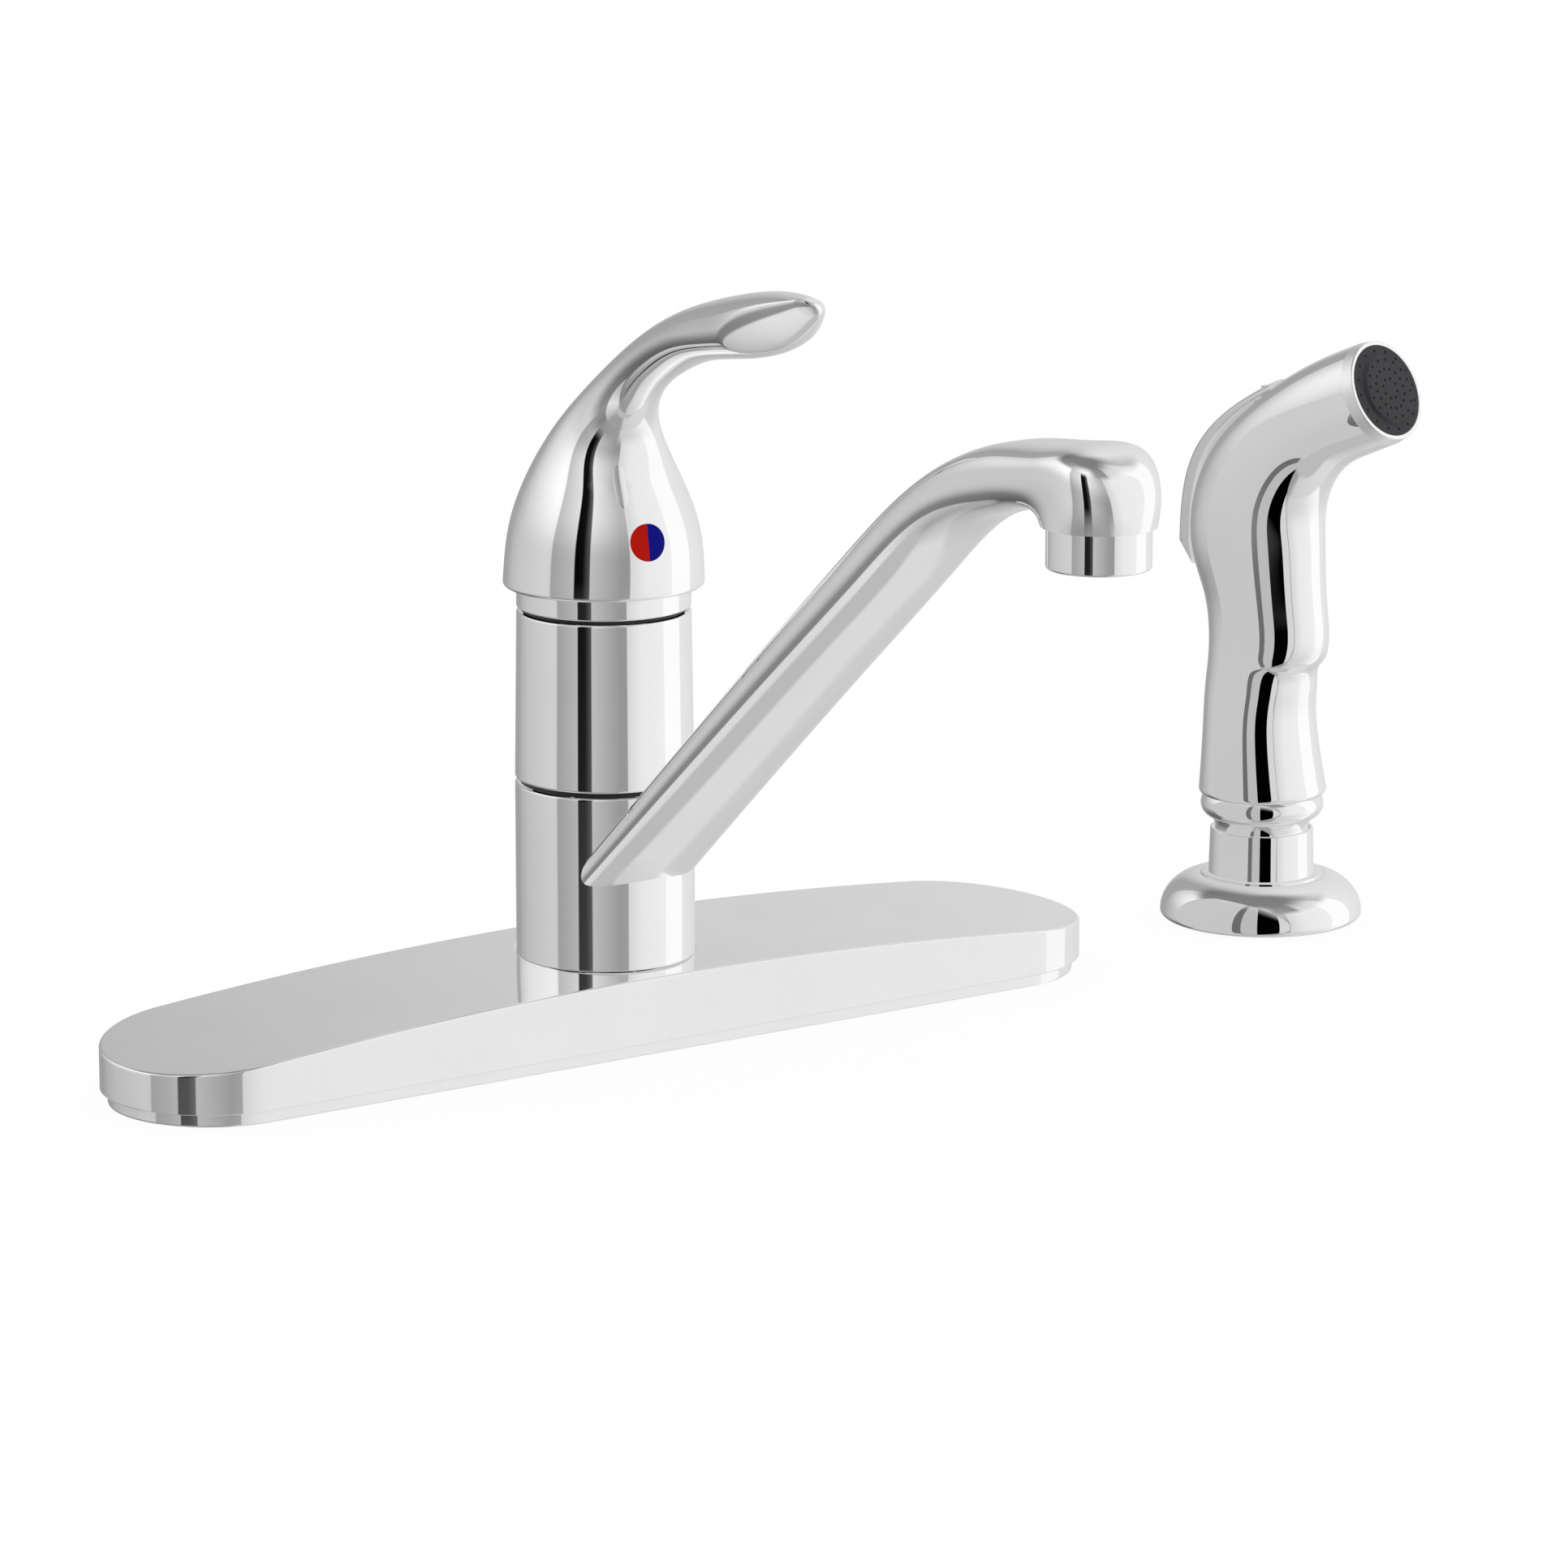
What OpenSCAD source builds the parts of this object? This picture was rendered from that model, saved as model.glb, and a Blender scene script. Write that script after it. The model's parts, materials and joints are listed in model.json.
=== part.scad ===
// Side spray kitchen faucet: a single lever faucet on a long deck plate, with a swivel
// spout, and a separate hand spray that stands in its own holder beside it.
// Millimetres, Z up. The deck is the plane z = 0 and the faucet stands on the Z axis.
// The spout reaches out along -Y and the hand spray stands at +X.

/* [Deck plate] */
// Length of the deck plate along X
plate_length = 275; // [250:1:300]
// Depth of the deck plate along Y
plate_depth = 54.4; // [52:0.2:60]
// Height of the plate's top on the faucet's axis
crown_height = 20.6; // [19:0.1:24]
// Height of the plate's top at its two ends
end_height = 12.9; // [11:0.1:15]
// Fall of the plate's top from its back edge to its front edge
plate_fall = 2.1; // [0.5:0.1:3]
// Thickness of the plate's walls
plate_wall = 2.2; // [1.6:0.1:3]
// Height of the tray that shows below the plate
lip_height = 3.3; // [2.5:0.1:5]
// Inset of the tray from the plate's edge
lip_inset = 1.8; // [0.8:0.1:2]
// Distance between the two mounting studs
stud_spacing = 203.2; // [190:0.2:208]
// Diameter of the mounting studs
stud_d = 8; // [5:0.5:9]
// Thickness of the deck that the nuts clamp
deck_thickness = 14; // [8:1:24]

/* [Spout] */
// Diameter of the spout's hub
hub_d = 43.4; // [42:0.2:46]
// Height of the spout's hub
hub_height = 41.6; // [40:0.2:46]
// Distance from the faucet's axis to the middle of the outlet
spout_reach = 196.2; // [170:0.2:220]
// Rise of the spout's middle line from its root to the bend over the outlet
spout_rise = 127; // [120:1:135]
// Diameter of the spout's outlet
outlet_d = 25.9; // [25.4:0.1:27]
// Diameter of the aerator's ring
aerator_d = 23.4; // [22.6:0.1:24]
// Height of the aerator's ring below the spout
aerator_height = 8; // [6:0.5:10]

/* [Faucet body] */
// Height of the sleeve over the cartridge
sleeve_height = 41; // [39:0.5:46]
// Top diameter of the sleeve as a share of the hub's diameter
sleeve_share = 0.972; // [0.96:0.002:0.99]
// Diameter of the collar under the handle
collar_d = 42.2; // [41.6:0.1:43]
// Height of the collar under the handle
collar_height = 5.2; // [5:0.1:8]
// Diameter of the shank that passes through the deck
shank_d = 31.8; // [30.8:0.2:33]
// Length of the shank below the deck
shank_length = 36; // [32:1:50]

/* [Handle] */
// Diameter of the handle's rim
rim_d = 48.6; // [48:0.2:50]
// Distance from the faucet's axis to the lever's tip
handle_reach = 107; // [90:1:120]
// Rise of the lever's tip above the rim
handle_rise = 82.1; // [79:0.1:84]
// Turn of the handle at rest, seen from above
handle_turn = -7.7; // [-15:0.1:0]
// Diameter of the hot and cold index
index_d = 9.4; // [8:0.1:10]
// Height of the index above the rim
index_rise = 13.3; // [12:0.1:14]
// Lift of the handle at full flow
lift_range = 24; // [15:1:24]

/* [Hand spray] */
// Distance from the faucet's axis to the hand spray's axis
spray_offset = 203.2; // [196:0.2:230]
// Diameter of the holder's base
holder_d = 52; // [50:0.2:56]
// Height of the holder's base
holder_height = 12; // [11:0.1:14]
// Height of the collar that the wand stands in
cup_height = 11.8; // [11:0.1:15]
// Turn of the wand at rest, seen from above
wand_turn = 12.9; // [-30:0.1:30]
// Rise of the wand's middle line from its foot to its nozzle
wand_rise = 107; // [106:0.5:109]
// Half thickness that the wand's sections are shares of
wand_r = 16; // [15.8:0.1:16.4]
// Thickness of the trigger
trigger_thickness = 3.6; // [3:0.1:3.6]
// Turn of the trigger when it is pressed
trigger_range = 2.5; // [1:0.1:2.5]
// Diameter of the spray holes
jet_d = 0.9; // [0.7:0.05:1.1]

/* [Hidden] */

// Fits and cuts
run_gap = 0.05;
free_gap = 0.4;
over = 1;
round_steps = 96;
small_steps = 48;

// Deck plate
plate_end_r = plate_depth / 2;
arch_sag = crown_height - end_height;
arch_r = (pow(plate_length / 2, 2) + arch_sag * arch_sag) / (2 * arch_sag);
fall_angle = atan(plate_fall / plate_depth);
pad_r = 25.5;
pad_z = 14;
seat_depth = 0.7;
seat_gap = 0.6;
seat_r = hub_d / 2 + seat_gap;
boss_r = 7;
stud_depth = 8;
gasket_height = 1.2;
gasket_inset = 3;
shank_gap = 0.6;
tray_hole_r = shank_d / 2 + shank_gap;
gasket_share = 0.65;
gasket_width = gasket_share * (plate_end_r - lip_inset - gasket_inset - tray_hole_r);

// Fasteners under the deck
washer_t = 1.5;
stud_washer_r = 11;
stud_nut_r = 8;
stud_nut_t = 6;
stud_end = 14;
stud_step = 0.4;
stud_end_r = stud_d / 2 - stud_step;
shank_washer_r = 24;
shank_nut_r = 22;
shank_nut_t = 8;
nut_sides = 6;

// Faucet body, from the deck up
bearing_t = 1.3;
bearing_r = 20.9;
gap_t = 1.2;
post_r = 17.4;
flange_r = 24;
flange_t = 4;
seat_z = crown_height - seat_depth;
hub_z = seat_z + bearing_t;
hub_top = hub_z + hub_height;
sleeve_z = hub_top + gap_t;
sleeve_top = sleeve_z + sleeve_height;
neck_gap = 1;
collar_z = sleeve_top + neck_gap;
rim_z = collar_z + collar_height;
hub_r = hub_d / 2;
hub_chamfer = 0.6;

// Water ways in the body
port_rise_share = 0.668;
port_z = hub_z + port_rise_share * hub_height;
port_r = 4;
groove_height = 14;
groove_r = 19.3;
supply_x = 8;
supply_y = -3;
supply_r = 3.2;
supply_nipple_r = 4.9;
outlet_y = 10.5;
outlet_r = 2.6;
outlet_nipple_r = 3.9;
nipple_depth = 8;
nipple_length = 10;
nipple_step = 0.4;
mix_r = 3.5;
ring_r = 1.3;
ring_inset_share = 0.096;
ring_low_share = 0.252;
ring_low = hub_z + ring_low_share * hub_height;
ring_high = hub_top - ring_inset_share * hub_height;
poppet_r = 4.4;
poppet_start = 8;
poppet_length = 4.8;
poppet_travel = 1.6;
plug_end = 16.7;

// Cartridge, from the handle's pin down
pin_drop = 8;
pin_z = collar_z - pin_drop;
pin_r = 1.5;
pin_half = 10.5;
ball_drop = 7.5;
ball_r = 2.8;
ball_neck_r = 1.6;
carrier_drop = 6;
carrier_top = pin_z - carrier_drop;
carrier_t = 7;
carrier_x = 6.5;
carrier_front = 5;
carrier_back = 8.5;
moving_t = 3;
moving_r = 8.5;
fixed_t = 4;
fixed_z = carrier_top - carrier_t - moving_t - fixed_t;
chamber_rise = 2;
chamber_z = sleeve_z + chamber_rise;
seal_t = 2;
chamber_r = 15.05;
housing_r = 15;
housing_bore = 12.05;
housing_lip = 11.05;
housing_drop = 3;
housing_top = collar_z - housing_drop;
lip_t = 2;
rotor_r = housing_bore - run_gap;
rotor_neck_r = housing_lip - run_gap;
rotor_drop = 2;
rotor_top = collar_z - rotor_drop;
stem_half = 4;
slot_front = 7;
slot_back = 8.5;
disc_port_r = 2;
nut_bore_drop = 6;
nut_r = 19.8;
nut_neck_r = 15.8;
nut_neck_t = 3;
nut_hole_r = 13.5;

// Handle
rim_r = rim_d / 2;
rim_round = 0.8;
cave_r = 21.8;
cave_height = 4;
socket_boss_r = 7.6;
socket_drop = 6;
socket_top = 21;
socket_half = 4.05;
screw_r = 2.5;
screw_length = 8;
index_face = 23.7;
index_tilt = 10;
index_t = 3;
tip_length = 2.6;

// Middle line and sections of the lever, one row for each place along it: share of the
// reach, share of the rise, tilt as a share of a right angle, then half height and half
// width as shares of the rim's radius, and how square the section is.
handle_shares = [
    [0.000, 0.010, 0.000, 1.000, 1.000, 2],
    [0.006, 0.182, 0.045, 0.943, 0.936, 2],
    [0.019, 0.360, 0.135, 0.712, 0.698, 2],
    [0.062, 0.503, 0.358, 0.425, 0.458, 2],
    [0.153, 0.627, 0.566, 0.272, 0.337, 2],
    [0.304, 0.741, 0.728, 0.243, 0.342, 2],
    [0.498, 0.835, 0.830, 0.264, 0.407, 2],
    [0.713, 0.898, 0.865, 0.305, 0.451, 2],
    [0.888, 0.951, 0.857, 0.261, 0.397, 2],
    [0.985, 0.995, 0.795, 0.130, 0.195, 2]
];

// Middle line and sections of the spout, with half sizes as shares of the outlet's radius
spout_shares = [
    [0.040, 0.000, 0.684, 0.440, 1.274, 2.2],
    [0.259, 0.295, 0.646, 0.533, 1.205, 2.2],
    [0.463, 0.565, 0.574, 0.564, 1.158, 2.3],
    [0.634, 0.788, 0.590, 0.579, 1.120, 2.4],
    [0.757, 0.928, 0.707, 0.564, 1.081, 2.6],
    [0.864, 0.986, 0.967, 0.610, 1.050, 3.0],
    [0.947, 1.000, 1.288, 0.795, 1.027, 3.0],
    [0.986, 0.994, 1.548, 1.143, 1.019, 2.6],
    [0.996, 0.968, 1.910, 1.104, 1.012, 2.2],
    [1.000, 0.920, 2.000, 1.000, 1.000, 2.0]
];
root_rise = 16.9;
outlet_share = 0.92;
arm_wall = 2.4;

// Middle line and sections of the wand, with half sizes as shares of wand_r
wand_shares = [
    [0.001, 0.000, 0.000, 1.006, 1.056, 2],
    [-0.008, 0.129, 0.022, 0.906, 0.969, 2],
    [-0.007, 0.250, 0.011, 0.900, 0.913, 2],
    [0.011, 0.335, -0.017, 0.994, 0.888, 2],
    [0.003, 0.463, 0.011, 1.038, 0.881, 2],
    [-0.023, 0.588, 0.011, 1.156, 0.944, 2],
    [-0.008, 0.731, 0.211, 1.088, 0.956, 2],
    [0.088, 0.865, 0.392, 0.900, 0.925, 2],
    [0.223, 0.952, 0.584, 0.856, 0.888, 2],
    [0.329, 1.000, 0.738, 0.838, 0.838, 2]
];

// Outer face of the trigger on the same measures, and its thickness as a share
trigger_shares = [
    [-0.043, 0.585, 0.011, 1.281, 0.963, 1.00],
    [-0.021, 0.750, 0.211, 1.238, 0.919, 0.83],
    [0.074, 0.869, 0.367, 0.994, 0.969, 0.47],
    [0.222, 0.950, 0.456, 0.914, 0.931, 0.24]
];
trigger_foot_share = [-0.035, 0.533, 0.011, 1.050, 0.940, 0.12];

// Aerator in the outlet
outlet_z = hub_z + root_rise + outlet_share * spout_rise;
thread_r = 10.6;
thread_depth = 6;
head_bore_r = 7.5;
head_bore_top = 15;
aerator_bore = 9.2;
aerator_lip = 8.4;
aerator_neck = 4.8;
screen_t = 5;
screen_hole_r = 0.8;

// Holder of the hand spray
ledge_r = 15.7;
ledge_t = 0.6;
holder_dip = 1.7;
holder_tuck = 2.3;
holder_foot_r = holder_d / 2 - holder_tuck;
holder_wall = 2;
guide_r = 12.9;
cup_low_r = 13.6;
cup_top_r = 13.25;
cup_bore = 12.3;
cup_floor = 14;
cup_top = holder_height + cup_height;
bush_r = 11;
bush_bore = 8;
bush_flange_r = 12.2;
bush_z = 3;
bush_top = cup_floor + 1;
hose_bore = 9.5;
guide_end = 30;
holder_gasket_in = 16;
holder_nut_r = 21;
holder_nut_t = 7;
holder_washer_r = 22;

// Hand spray
tail_rise = 10.4;
foot_z = cup_top + tail_rise;
wand_round = 1.3;
tail_low_r = 11.2;
tail_mid_r = 12.1;
bead_r = 12.1;
bead_round = 3.7;
bead_drop = 4;
bead_low = -75;
bead_high = 46;
spigot_r = 10.95;
spigot_top = 8;
tail_bore = 5.95;
nipple_r = 5.9;
nipple_top = 6;
nipple_hex_r = 7.4;
nipple_hex_t = 5;
nipple_low = -6;
thread_end_r = 4.6;
hose_way_r = 2.8;
grip_bore = 11;
grip_bore_top = 49.8;
valve_bore = 9.05;
valve_bore_top = 73.8;
valve_low = 51.8;
neck_bore = 4.5;
neck_bore_top = 91.6;
nozzle_bore = 10.8;
nozzle_depth = 14;
nozzle_tilt = 66.4;
nozzle_y = 0.329 * wand_rise;
nozzle_way = 41;
stem_z = 65.8;
stem_r = 2;
stem_way = 2.4;
stem_in = 1;
stem_lever = 35.4;
stem_back = stem_in - stem_lever * trigger_range * PI / 180 - free_gap;
stem_out = 20.9;
stem_flange_r = 4.4;
stem_flange_y = 13.7;
stem_flange_t = 1.2;
pocket_r = 5;
pocket_end = 15;
valve_port_y = -4.5;
spring_start = 9.3;
spring_r = 3.3;
wire_r = 0.45;
spring_turns = 3;
spring_sides = 8;
turn_steps = 16;

// Nozzle
rim_length = 3.1;
rim_face_r = 12.9;
rim_base_r = 13.4;
face_r = 11.9;
face_back = 0.6;
rim_neck = 5;
rim_neck_bore = 9.9;
raised_r = 8.7;
raised_t = 1.3;
jet_rings = [10.3, 7.6, 5.2, 2.6];
jet_counts = [16, 16, 16, 8];

// Trigger
paddle_half = 7;
paddle_cells = 8;
paddle_end = 15;
paddle_steps = 6;
ear_half = 2.9;
ear_r = 2.4;
ear_top = 4;
hinge_y = -2.5;
hinge_z = 101.2;
hinge_r = 1.2;
hinge_half = 7.5;
slot_gap = 0.4;
slot_depth = 2.8;
recess_half = paddle_half + free_gap;
recess_y = 15.9;
recess_low = 54.8;
recess_length = 31;
recess_lean = 1.5;
bend_recess_y = 16.6;
bend_recess_z = 84.8;
bend_recess_lean = 43.6;
bend_recess_length = 22;

// Lofts
ring_sides = 36;
ring_steps = 4;
tip_steps = 4;
foot_steps = 3;
tip_end_share = 0.06;

// Point at share t between b and c of a smooth curve through a, b, c and d
function curve_at(a, b, c, d, t) =
    (2 * b + (c - a) * t + (2 * a - 5 * b + 4 * c - d) * t * t
     + (3 * b - a - 3 * c + d) * t * t * t) / 2;

// Row i of a list of rows, carried on in a straight line past its ends
function row_at(rows, i) =
    i < 0 ? 2 * rows[0] - rows[1]
    : i >= len(rows) ? 2 * rows[len(rows) - 1] - rows[len(rows) - 2]
    : rows[i];

// Smooth run of rows through the given ones, with steps places between each two
function smooth_rows(rows, steps) = [
    for (i = [0 : len(rows) - 2])
        for (j = [0 : steps - 1])
            curve_at(row_at(rows, i - 1), rows[i], rows[i + 1], row_at(rows, i + 2), j / steps),
    rows[len(rows) - 1]
];

// Rows of shares as sizes: place along -Y, height, tilt, half height, half width, squareness
function sized_rows(shares, reach, rise, z, r) = [
    for (s = shares) [-s[0] * reach, z + s[1] * rise, s[2] * 90, s[3] * r, s[4] * r, s[5]]
];

// Rows of a rounded foot below the first row
function foot_rows(row, r, steps) = [
    for (i = [0 : steps - 1])
        let (a = 90 * i / steps)
        [row[0], row[1] - r * cos(a), row[2],
         row[3] - r * (1 - sin(a)), row[4] - r * (1 - sin(a)), row[5]]
];

// Rows of a rounded tip past the last row
function tip_rows(row, length, steps) = [
    for (i = [1 : steps])
        let (a = 90 * i / steps, k = max(cos(a), tip_end_share))
        [row[0] - length * sin(a) * sin(row[2]), row[1] + length * sin(a) * cos(row[2]),
         row[2], row[3] * k, row[4] * k, row[5]]
];

// Rows with their sections made smaller by a wall
function walled_rows(rows, wall) = [
    for (r = rows) [r[0], r[1], r[2], r[3] - wall, r[4] - wall, r[5]]
];

function signed_power(v, p) = sign(v) * pow(abs(v), p);

// Points of one section, an ellipse made squarer by its last value
function section(row) = [
    for (i = [0 : ring_sides - 1])
        let (
            a = 360 * i / ring_sides,
            x = row[4] * signed_power(cos(a), 2 / row[5]),
            n = row[3] * signed_power(sin(a), 2 / row[5])
        )
        [x, row[0] + n * cos(row[2]), row[1] + n * sin(row[2])]
];

// Closed solid through rings of points with the same number of points in each. Its two ends
// are closed by the whole ring, or by the given faces where the ring isn't convex.
module skin(rings, ends = []) {
    n = len(rings[0]);
    last = len(rings) - 1;
    caps = len(ends) > 0 ? ends : [[for (j = [0 : n - 1]) j]];
    polyhedron(
        points = [for (r = rings) each r],
        faces = [
            each caps,
            for (c = caps) [for (j = [len(c) - 1 : -1 : 0]) last * n + c[j]],
            for (i = [0 : last - 1])
                for (j = [0 : n - 1])
                    let (k = (j + 1) % n)
                    each [
                        [i * n + j, (i + 1) * n + j, (i + 1) * n + k],
                        [i * n + j, (i + 1) * n + k, i * n + k]
                    ]
        ],
        convexity = 6
    );
}

module loft(rows) {
    skin([for (r = rows) section(r)]);
}

// Tube with its foot at z
module tube(outer, inner, z, height) {
    translate([0, 0, z])
        difference() {
            cylinder(r = outer, h = height, $fn = round_steps);
            translate([0, 0, -over])
                cylinder(r = inner, h = height + 2 * over, $fn = round_steps);
        }
}

// Round bar from z1 to z2
module bar(r, z1, z2, steps = small_steps) {
    translate([0, 0, z1])
        cylinder(r = r, h = z2 - z1, $fn = steps);
}

// Round bar along Y at height z, from y1 to y2
module bar_y(r, y1, y2, z) {
    translate([0, y1, z])
        rotate([-90, 0, 0])
            cylinder(r = r, h = y2 - y1, $fn = small_steps);
}

// Round bar along X through the point y, z
module bar_x(r, half, y, z) {
    translate([-half, y, z])
        rotate([0, 90, 0])
            cylinder(r = r, h = 2 * half, $fn = small_steps);
}

// Block from one corner to the other
module block(low, high) {
    translate(low)
        cube(high - low);
}

// Hexagon nut with its top at z
module hex_nut(r, bore, z, height) {
    difference() {
        bar(r, z - height, z, nut_sides);
        bar(bore, z - height - over, z + over);
    }
}

// What follows the handle's turn at rest
module handle_frame() {
    rotate([0, 0, handle_turn])
        children();
}

// What stands on the hand spray's axis
module spray_frame(turn = 0) {
    translate([spray_offset, 0, 0])
        rotate([0, 0, turn])
            children();
}

// The nozzle's own frame, its axis pointing out of the spray face
module nozzle_frame() {
    spray_frame(wand_turn)
        translate([0, -nozzle_y, foot_z + wand_rise])
            rotate([nozzle_tilt, 0, 0])
                children();
}

// Outline of the deck plate, made smaller by inset
module plate_outline(inset) {
    r = plate_end_r - inset;
    x = plate_length / 2 - plate_end_r;
    translate([-x, -r])
        square([2 * x, 2 * r]);
    for (side = [-1, 1])
        translate([side * x, 0])
            circle(r = r, $fn = round_steps);
}

// All that lies under the plate's arched top, lowered by drop
module under_arch(drop) {
    translate([0, 0, crown_height - drop])
        rotate([fall_angle, 0, 0])
            translate([0, 0, -arch_r])
                rotate([90, 0, 0])
                    cylinder(r = arch_r, h = 2 * plate_depth, center = true, $fn = 8 * round_steps);
}

module deck_plate() {
    color("silver")
        difference() {
            union() {
                difference() {
                    intersection() {
                        translate([0, 0, lip_height])
                            linear_extrude(height = crown_height)
                                plate_outline(0);
                        under_arch(0);
                    }
                    intersection() {
                        translate([0, 0, -over])
                            linear_extrude(height = crown_height)
                                plate_outline(plate_wall);
                        under_arch(plate_wall);
                    }
                }
                intersection() {
                    bar(pad_r, pad_z, crown_height, round_steps);
                    under_arch(plate_wall / 2);
                }
                intersection() {
                    for (side = [-1, 1])
                        translate([side * stud_spacing / 2, 0, 0])
                            bar(boss_r, lip_height, crown_height);
                    under_arch(plate_wall / 2);
                }
            }
            bar(seat_r, seat_z, seat_z + crown_height, round_steps);
            bar(post_r + free_gap, 0, crown_height + over, round_steps);
            for (side = [-1, 1])
                translate([side * stud_spacing / 2, 0, 0])
                    bar(stud_end_r, 0, lip_height + stud_depth);
        }
}

module deck_tray() {
    color("lightgray")
        difference() {
            linear_extrude(height = lip_height)
                plate_outline(lip_inset);
            gasket_ring(over);
            bar(tray_hole_r, -over, lip_height + over, round_steps);
            for (side = [-1, 1])
                translate([side * stud_spacing / 2, 0, 0])
                    bar(stud_d / 2 + free_gap, -over, lip_height + over);
        }
}

// Ring under the tray, carried on below the deck's plane by drop
module gasket_ring(drop) {
    translate([0, 0, -drop])
        linear_extrude(height = gasket_height + drop)
            difference() {
                plate_outline(lip_inset + gasket_inset);
                plate_outline(lip_inset + gasket_inset + gasket_width);
            }
}

module deck_gasket() {
    color("dimgray")
        gasket_ring(0);
}

module mounting_studs() {
    color("goldenrod")
        for (side = [-1, 1])
            translate([side * stud_spacing / 2, 0, 0]) {
                bar(stud_d / 2, -deck_thickness, 0);
                bar(stud_end_r, -deck_thickness - stud_end, lip_height + stud_depth);
            }
}

module stud_washers() {
    color("silver")
        for (side = [-1, 1])
            translate([side * stud_spacing / 2, 0, 0])
                tube(stud_washer_r, stud_end_r, -deck_thickness - washer_t, washer_t);
}

module stud_nuts() {
    color("goldenrod")
        for (side = [-1, 1])
            translate([side * stud_spacing / 2, 0, 0])
                hex_nut(stud_nut_r, stud_end_r, -deck_thickness - washer_t, stud_nut_t);
}

// Groove for a seal ring in the post, with its middle at z
module ring_groove(z) {
    tube(post_r + over, post_r - 2 * ring_r, z - ring_r, 2 * ring_r);
}

module valve_body() {
    color("goldenrod")
        difference() {
            union() {
                bar(shank_d / 2, -shank_length, pad_z, round_steps);
                bar(flange_r, pad_z - flange_t, pad_z, round_steps);
                bar(post_r, pad_z, housing_top, round_steps);
            }
            bar(chamber_r, chamber_z, housing_top + over, round_steps);
            ring_groove(ring_low);
            ring_groove(ring_high);
            for (side = [-1, 1])
                translate([side * supply_x, supply_y, 0]) {
                    bar(supply_r, -shank_length - over, chamber_z + over);
                    nipple_bore(supply_nipple_r);
                }
            translate([0, outlet_y, 0]) {
                bar(outlet_r, -shank_length - over, port_z);
                nipple_bore(outlet_nipple_r);
            }
            bar(mix_r, port_z, chamber_z + over);
            bar_y(port_r, -post_r - over, poppet_start, port_z);
            bar_y(poppet_r + run_gap, poppet_start, post_r + over, port_z);
        }
}

module shank_washer() {
    color("silver")
        tube(shank_washer_r, shank_d / 2, -deck_thickness - washer_t, washer_t);
}

module shank_nut() {
    color("goldenrod")
        hex_nut(shank_nut_r, shank_d / 2, -deck_thickness - washer_t, shank_nut_t);
}

// Nipple with a thinner end that is screwed into the foot of the body
module nipple(r, bore) {
    difference() {
        union() {
            bar(r, -shank_length - nipple_length, -shank_length, round_steps);
            bar(r - nipple_step, -shank_length - nipple_length, nipple_depth - shank_length, round_steps);
        }
        bar(bore, -shank_length - nipple_length - over, nipple_depth - shank_length + over);
    }
}

// Bore in the foot of the body for that end
module nipple_bore(r) {
    bar(r - nipple_step, -shank_length - over, nipple_depth - shank_length, round_steps);
}

module hot_inlet() {
    color("goldenrod")
        translate([-supply_x, supply_y, 0])
            nipple(supply_nipple_r, supply_r);
}

module cold_inlet() {
    color("goldenrod")
        translate([supply_x, supply_y, 0])
            nipple(supply_nipple_r, supply_r);
}

module spray_outlet() {
    color("goldenrod")
        translate([0, outlet_y, 0])
            nipple(outlet_nipple_r, outlet_r);
}

module spout_o_rings() {
    color("black")
        for (z = [ring_low, ring_high])
            translate([0, 0, z])
                rotate_extrude($fn = round_steps)
                    translate([post_r - ring_r, 0])
                        circle(r = ring_r, $fn = small_steps);
}

module lower_bearing() {
    color("white")
        tube(bearing_r, post_r + 2 * run_gap, seat_z, bearing_t);
}

module upper_bearing() {
    color("white")
        tube(bearing_r - over / 2, post_r, hub_top, gap_t);
}

module body_sleeve() {
    top_r = hub_r * sleeve_share;
    bore = nut_r + 2 * run_gap;
    color("silver")
        rotate_extrude($fn = round_steps)
            polygon([
                [post_r, sleeve_z],
                [hub_r - hub_chamfer, sleeve_z],
                [hub_r, sleeve_z + hub_chamfer],
                [top_r, sleeve_top - hub_chamfer],
                [top_r - hub_chamfer, sleeve_top],
                [bore, sleeve_top],
                [bore, sleeve_z + nut_neck_t],
                [post_r, sleeve_z + nut_neck_t]
            ]);
}

module bonnet_nut() {
    color("goldenrod")
        rotate_extrude($fn = round_steps)
            polygon([
                [post_r, housing_top - nut_bore_drop],
                [nut_r, housing_top - nut_bore_drop],
                [nut_r, collar_z],
                [nut_neck_r, collar_z],
                [nut_neck_r, collar_z + nut_neck_t],
                [nut_hole_r, collar_z + nut_neck_t],
                [nut_hole_r, housing_top],
                [post_r, housing_top]
            ]);
}

module collar_ring() {
    r = collar_d / 2;
    color("silver")
        rotate_extrude($fn = round_steps)
            polygon([
                [nut_neck_r, collar_z],
                [r - hub_chamfer / 2, collar_z],
                [r, collar_z + hub_chamfer / 2],
                [r, rim_z - hub_chamfer],
                [r - hub_chamfer, rim_z],
                [nut_neck_r, rim_z]
            ]);
}

// The three water ways of the cartridge's foot, from z1 to z2
module port_holes(z1, z2) {
    for (side = [-1, 1])
        translate([side * supply_x, supply_y, 0])
            bar(disc_port_r, z1 - over, z2 + over);
    bar(mix_r, z1 - over, z2 + over);
}

module cartridge_seal() {
    color("black")
        difference() {
            bar(housing_r, chamber_z, chamber_z + seal_t, round_steps);
            port_holes(chamber_z, chamber_z + seal_t);
        }
}

module cartridge_base() {
    color("white")
        difference() {
            bar(housing_r, chamber_z + seal_t, fixed_z, round_steps);
            port_holes(chamber_z + seal_t, fixed_z);
        }
}

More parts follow.
